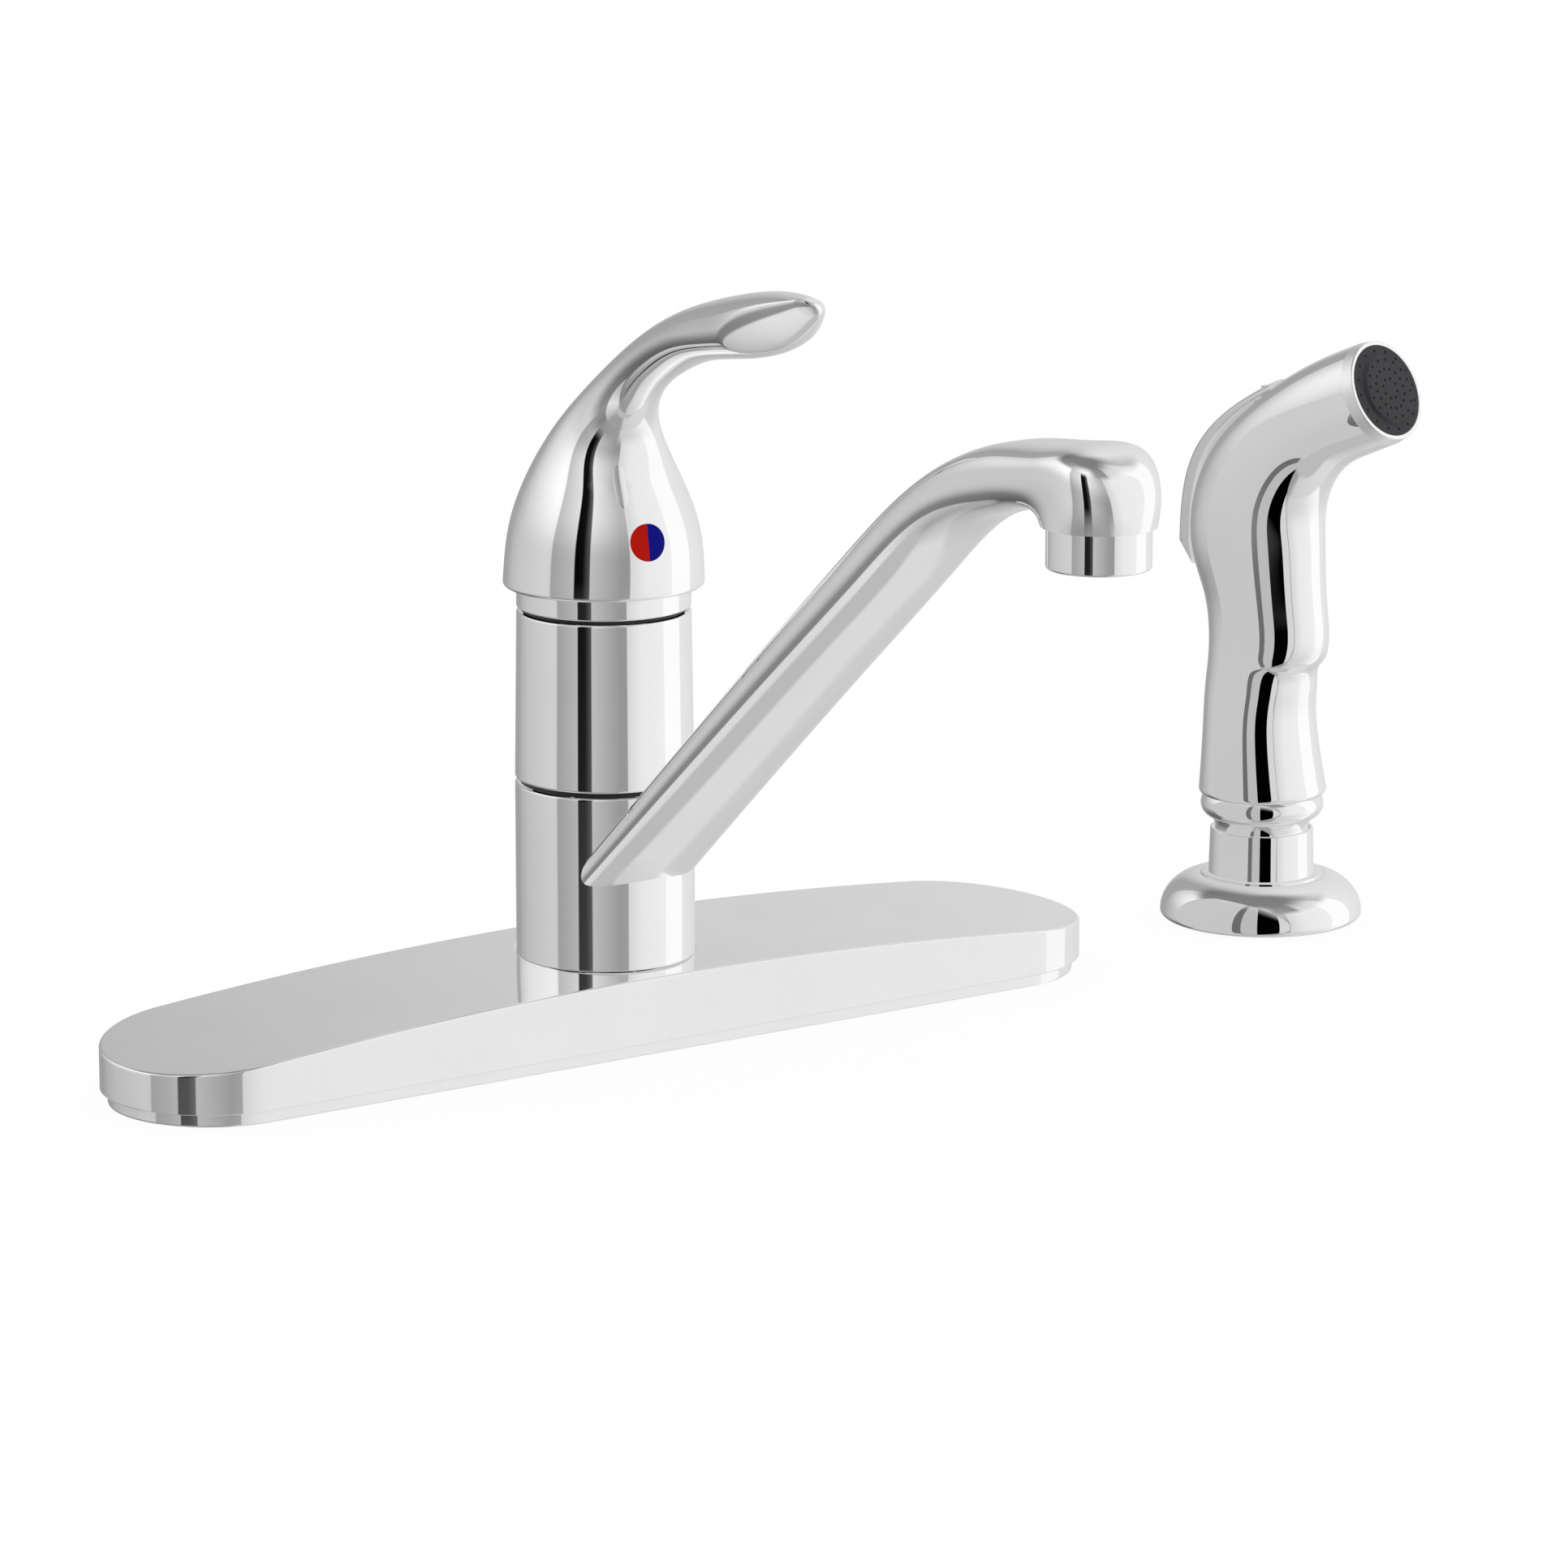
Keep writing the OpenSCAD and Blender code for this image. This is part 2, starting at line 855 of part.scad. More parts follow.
module cartridge_housing() {
    color("white")
        difference() {
            bar(housing_r, fixed_z, housing_top, round_steps);
            bar(housing_bore, fixed_z - over, housing_top - lip_t, round_steps);
            bar(housing_lip, fixed_z, housing_top + over, round_steps);
        }
}

module fixed_disc() {
    color("ivory")
        difference() {
            bar(rotor_r, fixed_z, fixed_z + fixed_t, round_steps);
            port_holes(fixed_z, fixed_z + fixed_t);
        }
}

module diverter_plug() {
    color("goldenrod")
        difference() {
            bar_y(poppet_r + run_gap, poppet_start + poppet_length + poppet_travel, plug_end, port_z);
            bar_y(mix_r / 2, poppet_start, plug_end + over, port_z);
        }
}

module diverter_poppet() {
    color("black")
        bar_y(poppet_r, poppet_start, poppet_start + poppet_length, port_z);
}

module spout_hub() {
    bore = post_r + run_gap;
    color("silver")
        difference() {
            rotate_extrude($fn = round_steps)
                polygon([
                    [bore, hub_z],
                    [hub_r - hub_chamfer / 2, hub_z],
                    [hub_r, hub_z + hub_chamfer / 2],
                    [hub_r, hub_top - hub_chamfer],
                    [hub_r - hub_chamfer, hub_top],
                    [bore, hub_top],
                    [bore, port_z + groove_height / 2],
                    [groove_r, port_z + groove_height / 2],
                    [groove_r, port_z - groove_height / 2],
                    [bore, port_z - groove_height / 2]
                ]);
            bar_y(port_r, -hub_r - over, 0, port_z);
        }
}

module spout_arm() {
    rows = sized_rows(spout_shares, spout_reach, spout_rise, hub_z + root_rise, outlet_d / 2);
    way = [for (i = [0 : len(rows) - 3]) rows[i]];
    color("silver")
        difference() {
            loft(smooth_rows(rows, ring_steps));
            loft(walled_rows(smooth_rows(way, ring_steps - 1), arm_wall));
            bar(hub_r, hub_z, hub_top + hub_height, round_steps);
            translate([0, -spout_reach, 0]) {
                bar(thread_r, outlet_z - over, outlet_z + thread_depth);
                bar(head_bore_r, outlet_z, outlet_z + head_bore_top);
            }
        }
}

module aerator_housing() {
    r = aerator_d / 2;
    color("silver")
        translate([0, -spout_reach, outlet_z])
            rotate_extrude($fn = round_steps)
                polygon([
                    [aerator_lip, -aerator_height],
                    [r - hub_chamfer, -aerator_height],
                    [r, hub_chamfer - aerator_height],
                    [r, 0],
                    [thread_r, 0],
                    [thread_r, aerator_neck],
                    [aerator_bore, aerator_neck],
                    [aerator_bore, over - aerator_height],
                    [aerator_lip, over - aerator_height]
                ]);
}

module aerator_screen() {
    z = over - aerator_height;
    color("white")
        translate([0, -spout_reach, outlet_z])
            difference() {
                bar(aerator_bore, z, z + screen_t);
                for (ring = [0 : 2])
                    for (i = [0 : max(0, 6 * ring - 1)])
                        rotate([0, 0, 60 * i / max(1, ring)])
                            translate([ring * aerator_bore * 0.3, 0, 0])
                                bar(screen_hole_r, z - over, z + screen_t + over, small_steps / 2);
            }
}

module aerator_washer() {
    color("black")
        translate([0, -spout_reach, 0])
            tube(thread_r, head_bore_r, outlet_z + aerator_neck, thread_depth - aerator_neck);
}

module cartridge_rotor() {
    low = carrier_top - carrier_t;
    color("white")
        handle_frame()
            difference() {
                union() {
                    bar(rotor_r, low + run_gap, housing_top - lip_t - run_gap, round_steps);
                    bar(rotor_neck_r, low + run_gap, rotor_top, round_steps);
                }
                block([-carrier_x - run_gap, -rotor_r - over, low - over],
                      [carrier_x + run_gap, rotor_r + over, carrier_top + free_gap]);
                block([-stem_half - 2 * run_gap, -slot_front, low],
                      [stem_half + 2 * run_gap, slot_back, rotor_top + over]);
                bar_x(pin_r, rotor_r + over, 0, pin_z);
            }
}

module stem_pin() {
    color("gray")
        handle_frame()
            bar_x(pin_r, pin_half, 0, pin_z);
}

module moving_disc() {
    z = fixed_z + fixed_t;
    color("ivory")
        handle_frame()
            difference() {
                bar(moving_r, z, z + moving_t, round_steps);
                bar(moving_r / 2, z - over, z + moving_t / 2);
            }
}

module disc_carrier() {
    pocket = ball_r + 4 * run_gap;
    color("white")
        handle_frame()
            difference() {
                block([-carrier_x, -carrier_front, carrier_top - carrier_t],
                      [carrier_x, carrier_back, carrier_top]);
                block([-pocket, -pocket, pin_z - ball_drop - ball_r - free_gap],
                      [pocket, pocket, carrier_top + over]);
            }
}

module cartridge_stem() {
    color("goldenrod")
        handle_frame()
            difference() {
                union() {
                    block([-stem_half, -stem_half, pin_z - stem_half],
                          [stem_half, stem_half, rim_z + socket_top]);
                    bar(ball_neck_r, pin_z - ball_drop, pin_z);
                    translate([0, 0, pin_z - ball_drop])
                        sphere(r = ball_r, $fn = small_steps);
                }
                bar_x(pin_r + run_gap, stem_half + over, 0, pin_z);
            }
}

// The index's own frame, its axis pointing out of the dome
module index_frame() {
    handle_frame()
        translate([0, -index_face, rim_z + index_rise])
            rotate([90 - index_tilt, 0, 0])
                children();
}

module handle() {
    rows = sized_rows(handle_shares, handle_reach, handle_rise, rim_z, rim_r);
    body = smooth_rows(rows, ring_steps);
    color("silver")
        difference() {
            handle_frame()
                difference() {
                    union() {
                        difference() {
                            loft(concat(
                                foot_rows(body[0], rim_round, foot_steps),
                                body,
                                tip_rows(body[len(body) - 1], tip_length, tip_steps)
                            ));
                            bar(cave_r, rim_z - over, rim_z + cave_height, round_steps);
                            translate([0, 0, rim_z + cave_height])
                                sphere(r = cave_r, $fn = round_steps);
                        }
                        bar(socket_boss_r, rim_z + socket_drop, rim_z + cave_height + cave_r);
                    }
                    block([-socket_half, -socket_half, rim_z],
                          [socket_half, socket_half, rim_z + socket_top]);
                    bar_y(screw_r, -index_face, 0, rim_z + index_rise);
                }
            index_frame()
                bar(index_d / 2, -index_t, index_t);
        }
}

module set_screw() {
    color("gray")
        handle_frame()
            bar_y(screw_r, -stem_half - screw_length, -stem_half, rim_z + index_rise);
}

// One half of the round index, on the given side
module index_half(side) {
    r = index_d / 2;
    index_frame()
        intersection() {
            bar(r, -index_t, 0);
            translate([side * r, 0, -index_t])
                cube([2 * r, 2 * r, 2 * index_t], center = true);
        }
}

module hot_index() {
    color("red")
        index_half(-1);
}

module cold_index() {
    color("navy")
        index_half(1);
}

// Quarter of an oval round the ledge's edge, from its top to its side
function dome_points(a, b, steps) = [
    for (i = [0 : steps])
        [ledge_r + a * sin(90 * i / steps), holder_dip + b * cos(90 * i / steps)]
];

module holder_base() {
    a = holder_d / 2 - ledge_r;
    b = holder_height - ledge_t - holder_dip;
    foot_in = holder_foot_r - holder_wall;
    outer = dome_points(a, b, 12);
    inner = dome_points(foot_in - ledge_r, b - holder_wall, 8);
    color("silver")
        spray_frame()
            rotate_extrude($fn = round_steps)
                polygon(concat(
                    [[guide_r, holder_height], [ledge_r, holder_height]],
                    outer,
                    [[holder_foot_r, 0], [foot_in, 0]],
                    [for (i = [len(inner) - 1 : -1 : 0]) inner[i]],
                    [[guide_r, holder_dip + b - holder_wall]]
                ));
}

module holder_gasket() {
    color("dimgray")
        spray_frame()
            tube(holder_foot_r - holder_wall, holder_gasket_in, 0, gasket_height);
}

module holder_guide() {
    color("silver")
        spray_frame()
            difference() {
                union() {
                    bar(guide_r, -guide_end, holder_height, round_steps);
                    translate([0, 0, holder_height])
                        cylinder(r1 = cup_low_r, r2 = cup_top_r, h = cup_height, $fn = round_steps);
                }
                bar(cup_bore, cup_floor, cup_top + over, round_steps);
                bar(bush_r + run_gap, bush_z, cup_floor + over, round_steps);
                bar(hose_bore, -guide_end - over, cup_floor, round_steps);
            }
}

module holder_washer() {
    color("silver")
        spray_frame()
            tube(holder_washer_r, guide_r, -deck_thickness - washer_t, washer_t);
}

module holder_nut() {
    color("black")
        spray_frame()
            hex_nut(holder_nut_r, guide_r, -deck_thickness - washer_t, holder_nut_t);
}

module seat_bush() {
    color("black")
        spray_frame()
            difference() {
                union() {
                    bar(bush_r, bush_z, cup_floor, round_steps);
                    bar(bush_flange_r, cup_floor, bush_top, round_steps);
                }
                bar(bush_bore, bush_z - over, bush_top + over, round_steps);
            }
}

module wand_shell() {
    rows = sized_rows(wand_shares, wand_rise, wand_rise, foot_z, wand_r);
    body = smooth_rows(rows, ring_steps);
    color("silver")
        difference() {
            spray_frame(wand_turn)
                difference() {
                    loft(concat(foot_rows(body[0], wand_round, foot_steps), body));
                    translate([0, 0, foot_z]) {
                        bar(grip_bore, -wand_round - over, grip_bore_top, round_steps);
                        bar(valve_bore, 0, valve_bore_top, round_steps);
                        bar(neck_bore, 0, neck_bore_top);
                        bar_y(pocket_r, 0, pocket_end, stem_z);
                        bar_y(stem_way, 0, wand_r + pocket_end, stem_z);
                        bar_x(hinge_r, hinge_half, hinge_y, hinge_z);
                        block([-ear_half - slot_gap, hinge_y - slot_depth, hinge_z - slot_depth],
                              [ear_half + slot_gap, hinge_y + slot_depth, hinge_z + wand_r]);
                        recess(recess_y, recess_low, recess_lean, recess_length);
                        recess(bend_recess_y, bend_recess_z, bend_recess_lean, bend_recess_length);
                    }
                }
            nozzle_frame() {
                bar(nozzle_bore, -nozzle_depth, over, round_steps);
                bar(neck_bore, -nozzle_way, over);
            }
        }
}

// Cut behind the trigger that starts at y, z on the wand's axis frame and leans inwards
module recess(y, z, lean, length) {
    translate([-recess_half, y, z])
        rotate([lean, 0, 0])
            cube([2 * recess_half, wand_r, length]);
}

module wand_tail() {
    bead_z = foot_z - bead_drop;
    color("silver")
        spray_frame(wand_turn)
            rotate_extrude($fn = round_steps)
                polygon(concat(
                    [[tail_bore, bush_top], [tail_low_r, bush_top], [tail_mid_r, cup_top]],
                    [for (i = [0 : 10])
                        let (a = bead_low + (bead_high - bead_low) * i / 10)
                        [bead_r + bead_round * cos(a), bead_z + bead_round * sin(a)]],
                    [
                        [spigot_r, bead_z + bead_round * sin(bead_high)],
                        [spigot_r, foot_z + spigot_top],
                        [tail_bore, foot_z + spigot_top]
                    ]
                ));
}

module hose_nipple() {
    color("goldenrod")
        spray_frame(wand_turn)
            difference() {
                union() {
                    bar(nipple_r, bush_top, foot_z + nipple_top);
                    bar(nipple_hex_r, bush_top - nipple_hex_t, bush_top, nut_sides);
                    bar(thread_end_r, nipple_low, bush_top);
                }
                bar(hose_way_r, nipple_low - over, foot_z + nipple_top + over);
            }
}

module spray_valve() {
    color("white")
        spray_frame(wand_turn)
            translate([0, 0, foot_z])
                difference() {
                    bar(valve_bore - run_gap, valve_low, valve_bore_top, round_steps);
                    bar_y(stem_r + run_gap, stem_back, valve_bore + over, stem_z);
                    translate([0, valve_port_y, 0])
                        bar(hose_way_r, valve_low - over, valve_bore_top + over);
                }
}

module trigger_pin() {
    color("gray")
        spray_frame(wand_turn)
            bar_x(hinge_r, hinge_half, hinge_y, foot_z + hinge_z);
}

// Points across the trigger at one row, over its outer face and back under its inner one
function paddle_ring(row) =
    let (
        outer = [
            for (i = [0 : paddle_cells])
                let (x = paddle_half * (1 - 2 * i / paddle_cells))
                [x, row[3] * sqrt(1 - pow(x / row[4], 2))]
        ],
        t = trigger_thickness * row[5],
        all = concat(outer, [for (i = [paddle_cells : -1 : 0]) outer[i] - [0, t]])
    )
    [for (p = all) [p[0], row[0] + p[1] * cos(row[2]), row[1] + p[1] * sin(row[2])]];

module trigger() {
    rows = sized_rows(trigger_shares, wand_rise, wand_rise, foot_z, wand_r);
    foot = sized_rows([trigger_foot_share], wand_rise, wand_rise, foot_z, wand_r);
    run = smooth_rows(rows, paddle_steps);
    inner_end = 2 * paddle_cells + 1;
    color("silver")
        spray_frame(wand_turn)
            skin(
                [paddle_ring(foot[0]), for (i = [0 : paddle_end]) paddle_ring(run[i])],
                [for (i = [0 : paddle_cells - 1]) each [
                    [i, i + 1, inner_end - i - 1],
                    [i, inner_end - i - 1, inner_end - i]
                ]]
            );
}

module trigger_lug() {
    color("gray")
        spray_frame(wand_turn)
            difference() {
                union() {
                    bar_x(ear_r, ear_half, hinge_y, foot_z + hinge_z);
                    block([-ear_half, hinge_y - ear_r, foot_z + hinge_z],
                          [ear_half, hinge_y + ear_r, foot_z + hinge_z + ear_top]);
                }
                bar_x(hinge_r + run_gap, ear_half + over, hinge_y, foot_z + hinge_z);
            }
}

module valve_stem() {
    color("silver")
        spray_frame(wand_turn) {
            bar_y(stem_r, stem_in, stem_out, foot_z + stem_z);
            bar_y(stem_flange_r, stem_flange_y, stem_flange_y + stem_flange_t, foot_z + stem_z);
        }
}

module return_spring() {
    steps = spring_turns * turn_steps;
    length = stem_flange_y - spring_start - 2 * wire_r;
    color("gray")
        spray_frame(wand_turn)
            translate([0, spring_start + wire_r, foot_z + stem_z])
                skin([
                    for (i = [0 : steps])
                        let (a = 360 * i / turn_steps)
                        [for (j = [0 : spring_sides - 1])
                            let (b = 360 * j / spring_sides, r = spring_r + wire_r * cos(b))
                            [r * cos(a), length * i / steps + wire_r * sin(b), r * sin(a)]]
                ]);
}

module spray_face() {
    color("dimgray")
        nozzle_frame()
            difference() {
                union() {
                    bar(face_r, face_back, rim_length, round_steps);
                    bar(raised_r, face_back, rim_length + raised_t, round_steps);
                }
                for (k = [0 : len(jet_rings) - 1])
                    for (i = [0 : jet_counts[k] - 1])
                        rotate([0, 0, 360 * (i + k / 2) / jet_counts[k]])
                            translate([jet_rings[k], 0, 0])
                                bar(jet_d / 2, 0, rim_length + raised_t + over, small_steps / 2);
            }
}

module nozzle_rim() {
    color("silver")
        nozzle_frame()
            rotate_extrude($fn = round_steps)
                polygon([
                    [rim_neck_bore, -rim_neck],
                    [nozzle_bore, -rim_neck],
                    [nozzle_bore, 0],
                    [rim_base_r, 0],
                    [rim_face_r, rim_length],
                    [face_r, rim_length],
                    [face_r, face_back],
                    [rim_neck_bore, face_back]
                ]);
}

deck_plate();
deck_tray();
deck_gasket();
mounting_studs();
stud_washers();
stud_nuts();
valve_body();
shank_washer();
shank_nut();
hot_inlet();
cold_inlet();
spray_outlet();
spout_o_rings();
lower_bearing();
upper_bearing();
body_sleeve();
collar_ring();
bonnet_nut();
cartridge_seal();
cartridge_base();
cartridge_housing();
fixed_disc();
diverter_plug();
diverter_poppet();
spout_hub();
spout_arm();
aerator_housing();
aerator_screen();
aerator_washer();
cartridge_rotor();
stem_pin();
moving_disc();
disc_carrier();
cartridge_stem();
handle();
set_screw();
hot_index();
cold_index();
holder_base();
holder_gasket();
holder_guide();
holder_washer();
holder_nut();
seat_bush();
wand_shell();
wand_tail();
hose_nipple();
spray_valve();
trigger_pin();
spray_face();
nozzle_rim();
trigger();
trigger_lug();
valve_stem();
return_spring();
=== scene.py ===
import json
import math
import bpy
import bmesh
import numpy as np
from mathutils import Matrix, Vector


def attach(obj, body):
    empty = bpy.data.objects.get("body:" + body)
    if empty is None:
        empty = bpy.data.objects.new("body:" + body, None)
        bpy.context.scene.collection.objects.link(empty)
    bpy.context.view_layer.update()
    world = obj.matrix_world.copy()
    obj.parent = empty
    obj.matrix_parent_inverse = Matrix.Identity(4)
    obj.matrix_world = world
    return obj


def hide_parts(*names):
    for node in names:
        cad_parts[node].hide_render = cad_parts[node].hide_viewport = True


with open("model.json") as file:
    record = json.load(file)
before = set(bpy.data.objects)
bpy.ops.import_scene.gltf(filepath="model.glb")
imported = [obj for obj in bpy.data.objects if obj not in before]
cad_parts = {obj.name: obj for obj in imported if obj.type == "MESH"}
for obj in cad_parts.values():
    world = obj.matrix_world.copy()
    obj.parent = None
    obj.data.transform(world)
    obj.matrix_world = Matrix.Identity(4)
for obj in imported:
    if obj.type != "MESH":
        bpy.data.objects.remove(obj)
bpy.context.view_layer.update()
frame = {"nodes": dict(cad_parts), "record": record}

mm = 0.001
print("frame loaded:", len(frame["nodes"]), "solids")


class Wire:  # one output of a node, used in plain arithmetic
    def __init__(self, graph, socket):
        self.graph, self.socket = graph, socket

    def math(self, operation, *values):
        return self.graph.node("ShaderNodeMath", {"operation": operation}, dict(enumerate(values)))

    def __add__(self, other):
        return self.math("ADD", self, other)

    def __sub__(self, other):
        return self.math("SUBTRACT", self, other)

    def __mul__(self, other):
        return self.math("MULTIPLY", self, other)

    def __lt__(self, other):
        return self.math("LESS_THAN", self, other)

    def __radd__(self, other):
        return self.math("ADD", other, self)

    def __rsub__(self, other):
        return self.math("SUBTRACT", other, self)

    def __rmul__(self, other):
        return self.math("MULTIPLY", other, self)

    def __gt__(self, other):  # what a number < a wire turns into
        return self.math("GREATER_THAN", self, other)


class Graph:  # a node tree under construction
    def __init__(self, tree):
        self.tree = tree
        tree.nodes.clear()

    def node(self, kind, settings=None, values=None, output=0):
        made = self.tree.nodes.new(kind)
        for key, value in (settings or {}).items():
            if key == "stops":  # places and greys of a ramp
                stops = made.color_ramp.elements
                while len(stops) > 1:
                    stops.remove(stops[-1])
                for i, (place, shade) in enumerate(value):
                    stop = stops[0] if i == 0 else stops.new(place)
                    stop.position = place
                    stop.color = (shade, shade, shade, 1)
            else:
                setattr(made, key, value)
        for key, value in (values or {}).items():
            if isinstance(value, Wire):
                self.tree.links.new(value.socket, made.inputs[key])
            else:
                made.inputs[key].default_value = value
        return Wire(self, made.outputs[output] if len(made.outputs) else None)

    def smooth(self, value, low, high):  # 0 at low, 1 at high
        return self.node("ShaderNodeMapRange", {"interpolation_type": "SMOOTHSTEP"},
                         {0: value, 1: low, 2: high})

    def blend(self, factor, a, b):  # colours a to b
        return self.node("ShaderNodeMix", {"data_type": "RGBA"}, {0: factor, 6: a, 7: b}, 2)

    def noise(self, place, scale, detail):
        return self.node("ShaderNodeTexNoise", None, {"Vector": place, "Scale": scale, "Detail": detail})

    def bump(self, strength, distance, height):
        return self.node("ShaderNodeBump", None, {"Strength": strength, "Distance": distance, "Height": height})


def linear(grey):  # screen grey, 0 to 255, as linear light
    v = grey / 255
    return v / 12.92 if v <= 0.04045 else ((v + 0.055) / 1.055) ** 2.4


def tone(r, g, b):
    return (linear(r), linear(g), linear(b), 1)


def newMaterial(name):
    material = bpy.data.materials.new(name)
    material.use_nodes = True
    return material, Graph(material.node_tree)


def finish(graph, shader):
    graph.node("ShaderNodeOutputMaterial", None, {"Surface": shader})


metalGrain = {"cloud": 35.0, "speck": 900.0, "cloudShare": 0.7, "speckShare": 0.3, "wornLow": 0.35,
              "wornHigh": 0.7, "wornRough": 0.5, "bump": 0.0001}
# dark and light are the thread heights between which the colour turns from painted groove shade to the plain
# tone
threadGrainAndShade = {"speck": 700.0, "rough": 0.1, "bump": 0.0005, "strength": 0.8, "dark": -1.0, "light": 0.6}
mouldedGrain = {"cloud": 60.0, "speck": 1400.0, "low": 0.3, "high": 0.7, "rough": 0.15, "bump": 0.0001}


def metalFinish(name, light, dark, roughness, spread, bump=0.0, metallic=1.0):
    material, g = newMaterial(name)
    place = g.node("ShaderNodeTexCoord", output="Object")
    cloud = g.noise(place, metalGrain["cloud"], 3.0)
    speck = g.noise(place, metalGrain["speck"], 2.0)
    mixed = cloud * metalGrain["cloudShare"] + speck * metalGrain["speckShare"]
    worn = g.smooth(mixed, metalGrain["wornLow"], metalGrain["wornHigh"])
    values = {"Base Color": g.blend(worn, light, dark), "Metallic": metallic,
              "Roughness": roughness + (speck - 0.5) * spread + worn * spread * metalGrain["wornRough"]}
    if bump:
        values["Normal"] = g.bump(bump, metalGrain["bump"], speck)
    finish(g, g.node("ShaderNodeBsdfPrincipled", None, values))
    return material


def threadFinish(name, light, dark, roughness, pitch, below):  # turned metal with a thread under a height
    material, g = newMaterial(name)
    place = g.node("ShaderNodeTexCoord", output="Object")
    z = g.node("ShaderNodeSeparateXYZ", None, {"Vector": place}, "Z")
    speck = g.noise(place, threadGrainAndShade["speck"], 2.0)
    turns = z * (2 * math.pi / pitch)
    wave = turns.math("SINE", turns) * (z < below)
    # the colour goes from dark in the thread's grooves to light on its crests: painted shade
    shade = g.smooth(wave, threadGrainAndShade["dark"], threadGrainAndShade["light"])
    finish(g, g.node("ShaderNodeBsdfPrincipled", None, {
        "Base Color": g.blend(shade, dark, light), "Metallic": 1.0,
        "Roughness": roughness + speck * threadGrainAndShade["rough"],
        "Normal": g.bump(threadGrainAndShade["strength"], threadGrainAndShade["bump"], wave),
    }))
    return material


def mouldedFinish(name, light, dark, roughness, bump, sheen=0.5):  # plastic, rubber, ceramic and enamel
    material, g = newMaterial(name)
    place = g.node("ShaderNodeTexCoord", output="Object")
    cloud = g.noise(place, mouldedGrain["cloud"], 2.0)
    speck = g.noise(place, mouldedGrain["speck"], 3.0)
    shade = g.smooth(cloud, mouldedGrain["low"], mouldedGrain["high"])
    finish(g, g.node("ShaderNodeBsdfPrincipled", None, {
        "Base Color": g.blend(shade, light, dark), "Specular IOR Level": sheen,
        "Roughness": roughness + (speck - 0.5) * mouldedGrain["rough"],
        "Normal": g.bump(bump, mouldedGrain["bump"], speck),
    }))
    return material


# light and dark shade, roughness, and then the spread of it for metals or the bump for mouldings
chrome = metalFinish("polishedChrome", (0.985, 0.985, 0.99, 1), (0.96, 0.96, 0.965, 1), 0.012, 0.012)
rimChrome = metalFinish("rimChrome", (0.99, 0.99, 0.992, 1), (0.98, 0.98, 0.985, 1), 0.36, 0.01)
# a darker copy of the chrome for the trigger: painted shade
shadedTriggerChrome = metalFinish("shadedTriggerChrome", (0.8, 0.8, 0.81, 1), (0.77, 0.77, 0.78, 1), 0.03, 0.02)
plateChrome = metalFinish("plateChrome", (0.98, 0.98, 0.985, 1), (0.95, 0.95, 0.955, 1), 0.02, 0.015,
                          metallic=0.94)
brass = threadFinish("threadedBrass", (0.72, 0.52, 0.24, 1), (0.4, 0.27, 0.1, 1), 0.24, pitch=0.0014, below=0.0)
machinedBrass = metalFinish("machinedBrass", (0.74, 0.54, 0.26, 1), (0.6, 0.42, 0.18, 1), 0.25, 0.12, bump=0.3)
steel = metalFinish("zincSteel", (0.62, 0.63, 0.65, 1), (0.42, 0.43, 0.45, 1), 0.3, 0.15, bump=0.3)
rubber = mouldedFinish("blackSealRubber", tone(34, 34, 35), tone(26, 26, 27), 0.62, 0.25)
faceRubber = mouldedFinish("sprayFaceRubber", tone(56, 57, 59), tone(49, 50, 52), 0.6, 0.15, sheen=0.3)
whitePlastic = mouldedFinish("whiteAcetal", tone(232, 232, 228), tone(222, 222, 217), 0.38, 0.08)
ceramic = mouldedFinish("alumina", tone(240, 236, 224), tone(230, 225, 212), 0.18, 0.03)
greyPlastic = mouldedFinish("greyNylon", tone(125, 127, 130), tone(112, 114, 117), 0.45, 0.1)
# black nylon; the same black is also painted onto the bearings and the bonnet nut as gap shade
blackPlasticAndGapShade = mouldedFinish("blackNylonAndGapShade", tone(30, 30, 31), tone(22, 22, 23), 0.4, 0.12)
redEnamel = mouldedFinish("redEnamel", tone(186, 22, 8), tone(176, 18, 6), 0.3, 0.02, sheen=0.06)
blueEnamel = mouldedFinish("blueEnamel", tone(12, 16, 134), tone(8, 12, 124), 0.3, 0.02, sheen=0.06)

slotFinish = {
    "chrome_metal": chrome, "chrome_plastic": chrome, "brass": brass, "steel": steel,
    "rubber_seal": rubber, "white_plastic": whitePlastic, "ceramic": ceramic,
    "grey_plastic": greyPlastic, "black_plastic": blackPlasticAndGapShade, "grey_rubber": faceRubber,
    "red_mark": redEnamel, "blue_mark": blueEnamel,
}
# the bearings and the bonnet nut are given black as painted shade, so the gaps at the hub's foot, between hub
# and sleeve, and under the collar read as dark lines
nodeFinish = {
    "upper_bearing": blackPlasticAndGapShade, "lower_bearing": blackPlasticAndGapShade, "cartridge_stem": machinedBrass,
    "bonnet_nut": blackPlasticAndGapShade, "diverter_plug": machinedBrass, "deck_gasket": rubber,
}
nodeSlot = {row["node"]: row["material_slot"] for row in frame["record"]["subparts"]}
for name, solid in frame["nodes"].items():
    solid.data.materials.clear()
    solid.data.materials.append(nodeFinish.get(name, slotFinish.get(nodeSlot.get(name), chrome)))
print("finishes made:", len(bpy.data.materials))

ringSides = {"plain": 160, "large": 240, "cutter": 96, "stud": 48}  # points round each kind of ring


def shadeSmooth(mesh, sharp=35):  # smooth, but for edges that turn by more than this angle
    mesh.polygons.foreach_set("use_smooth", [True] * len(mesh.polygons))
    mesh.set_sharp_from_angle(angle=math.radians(sharp))


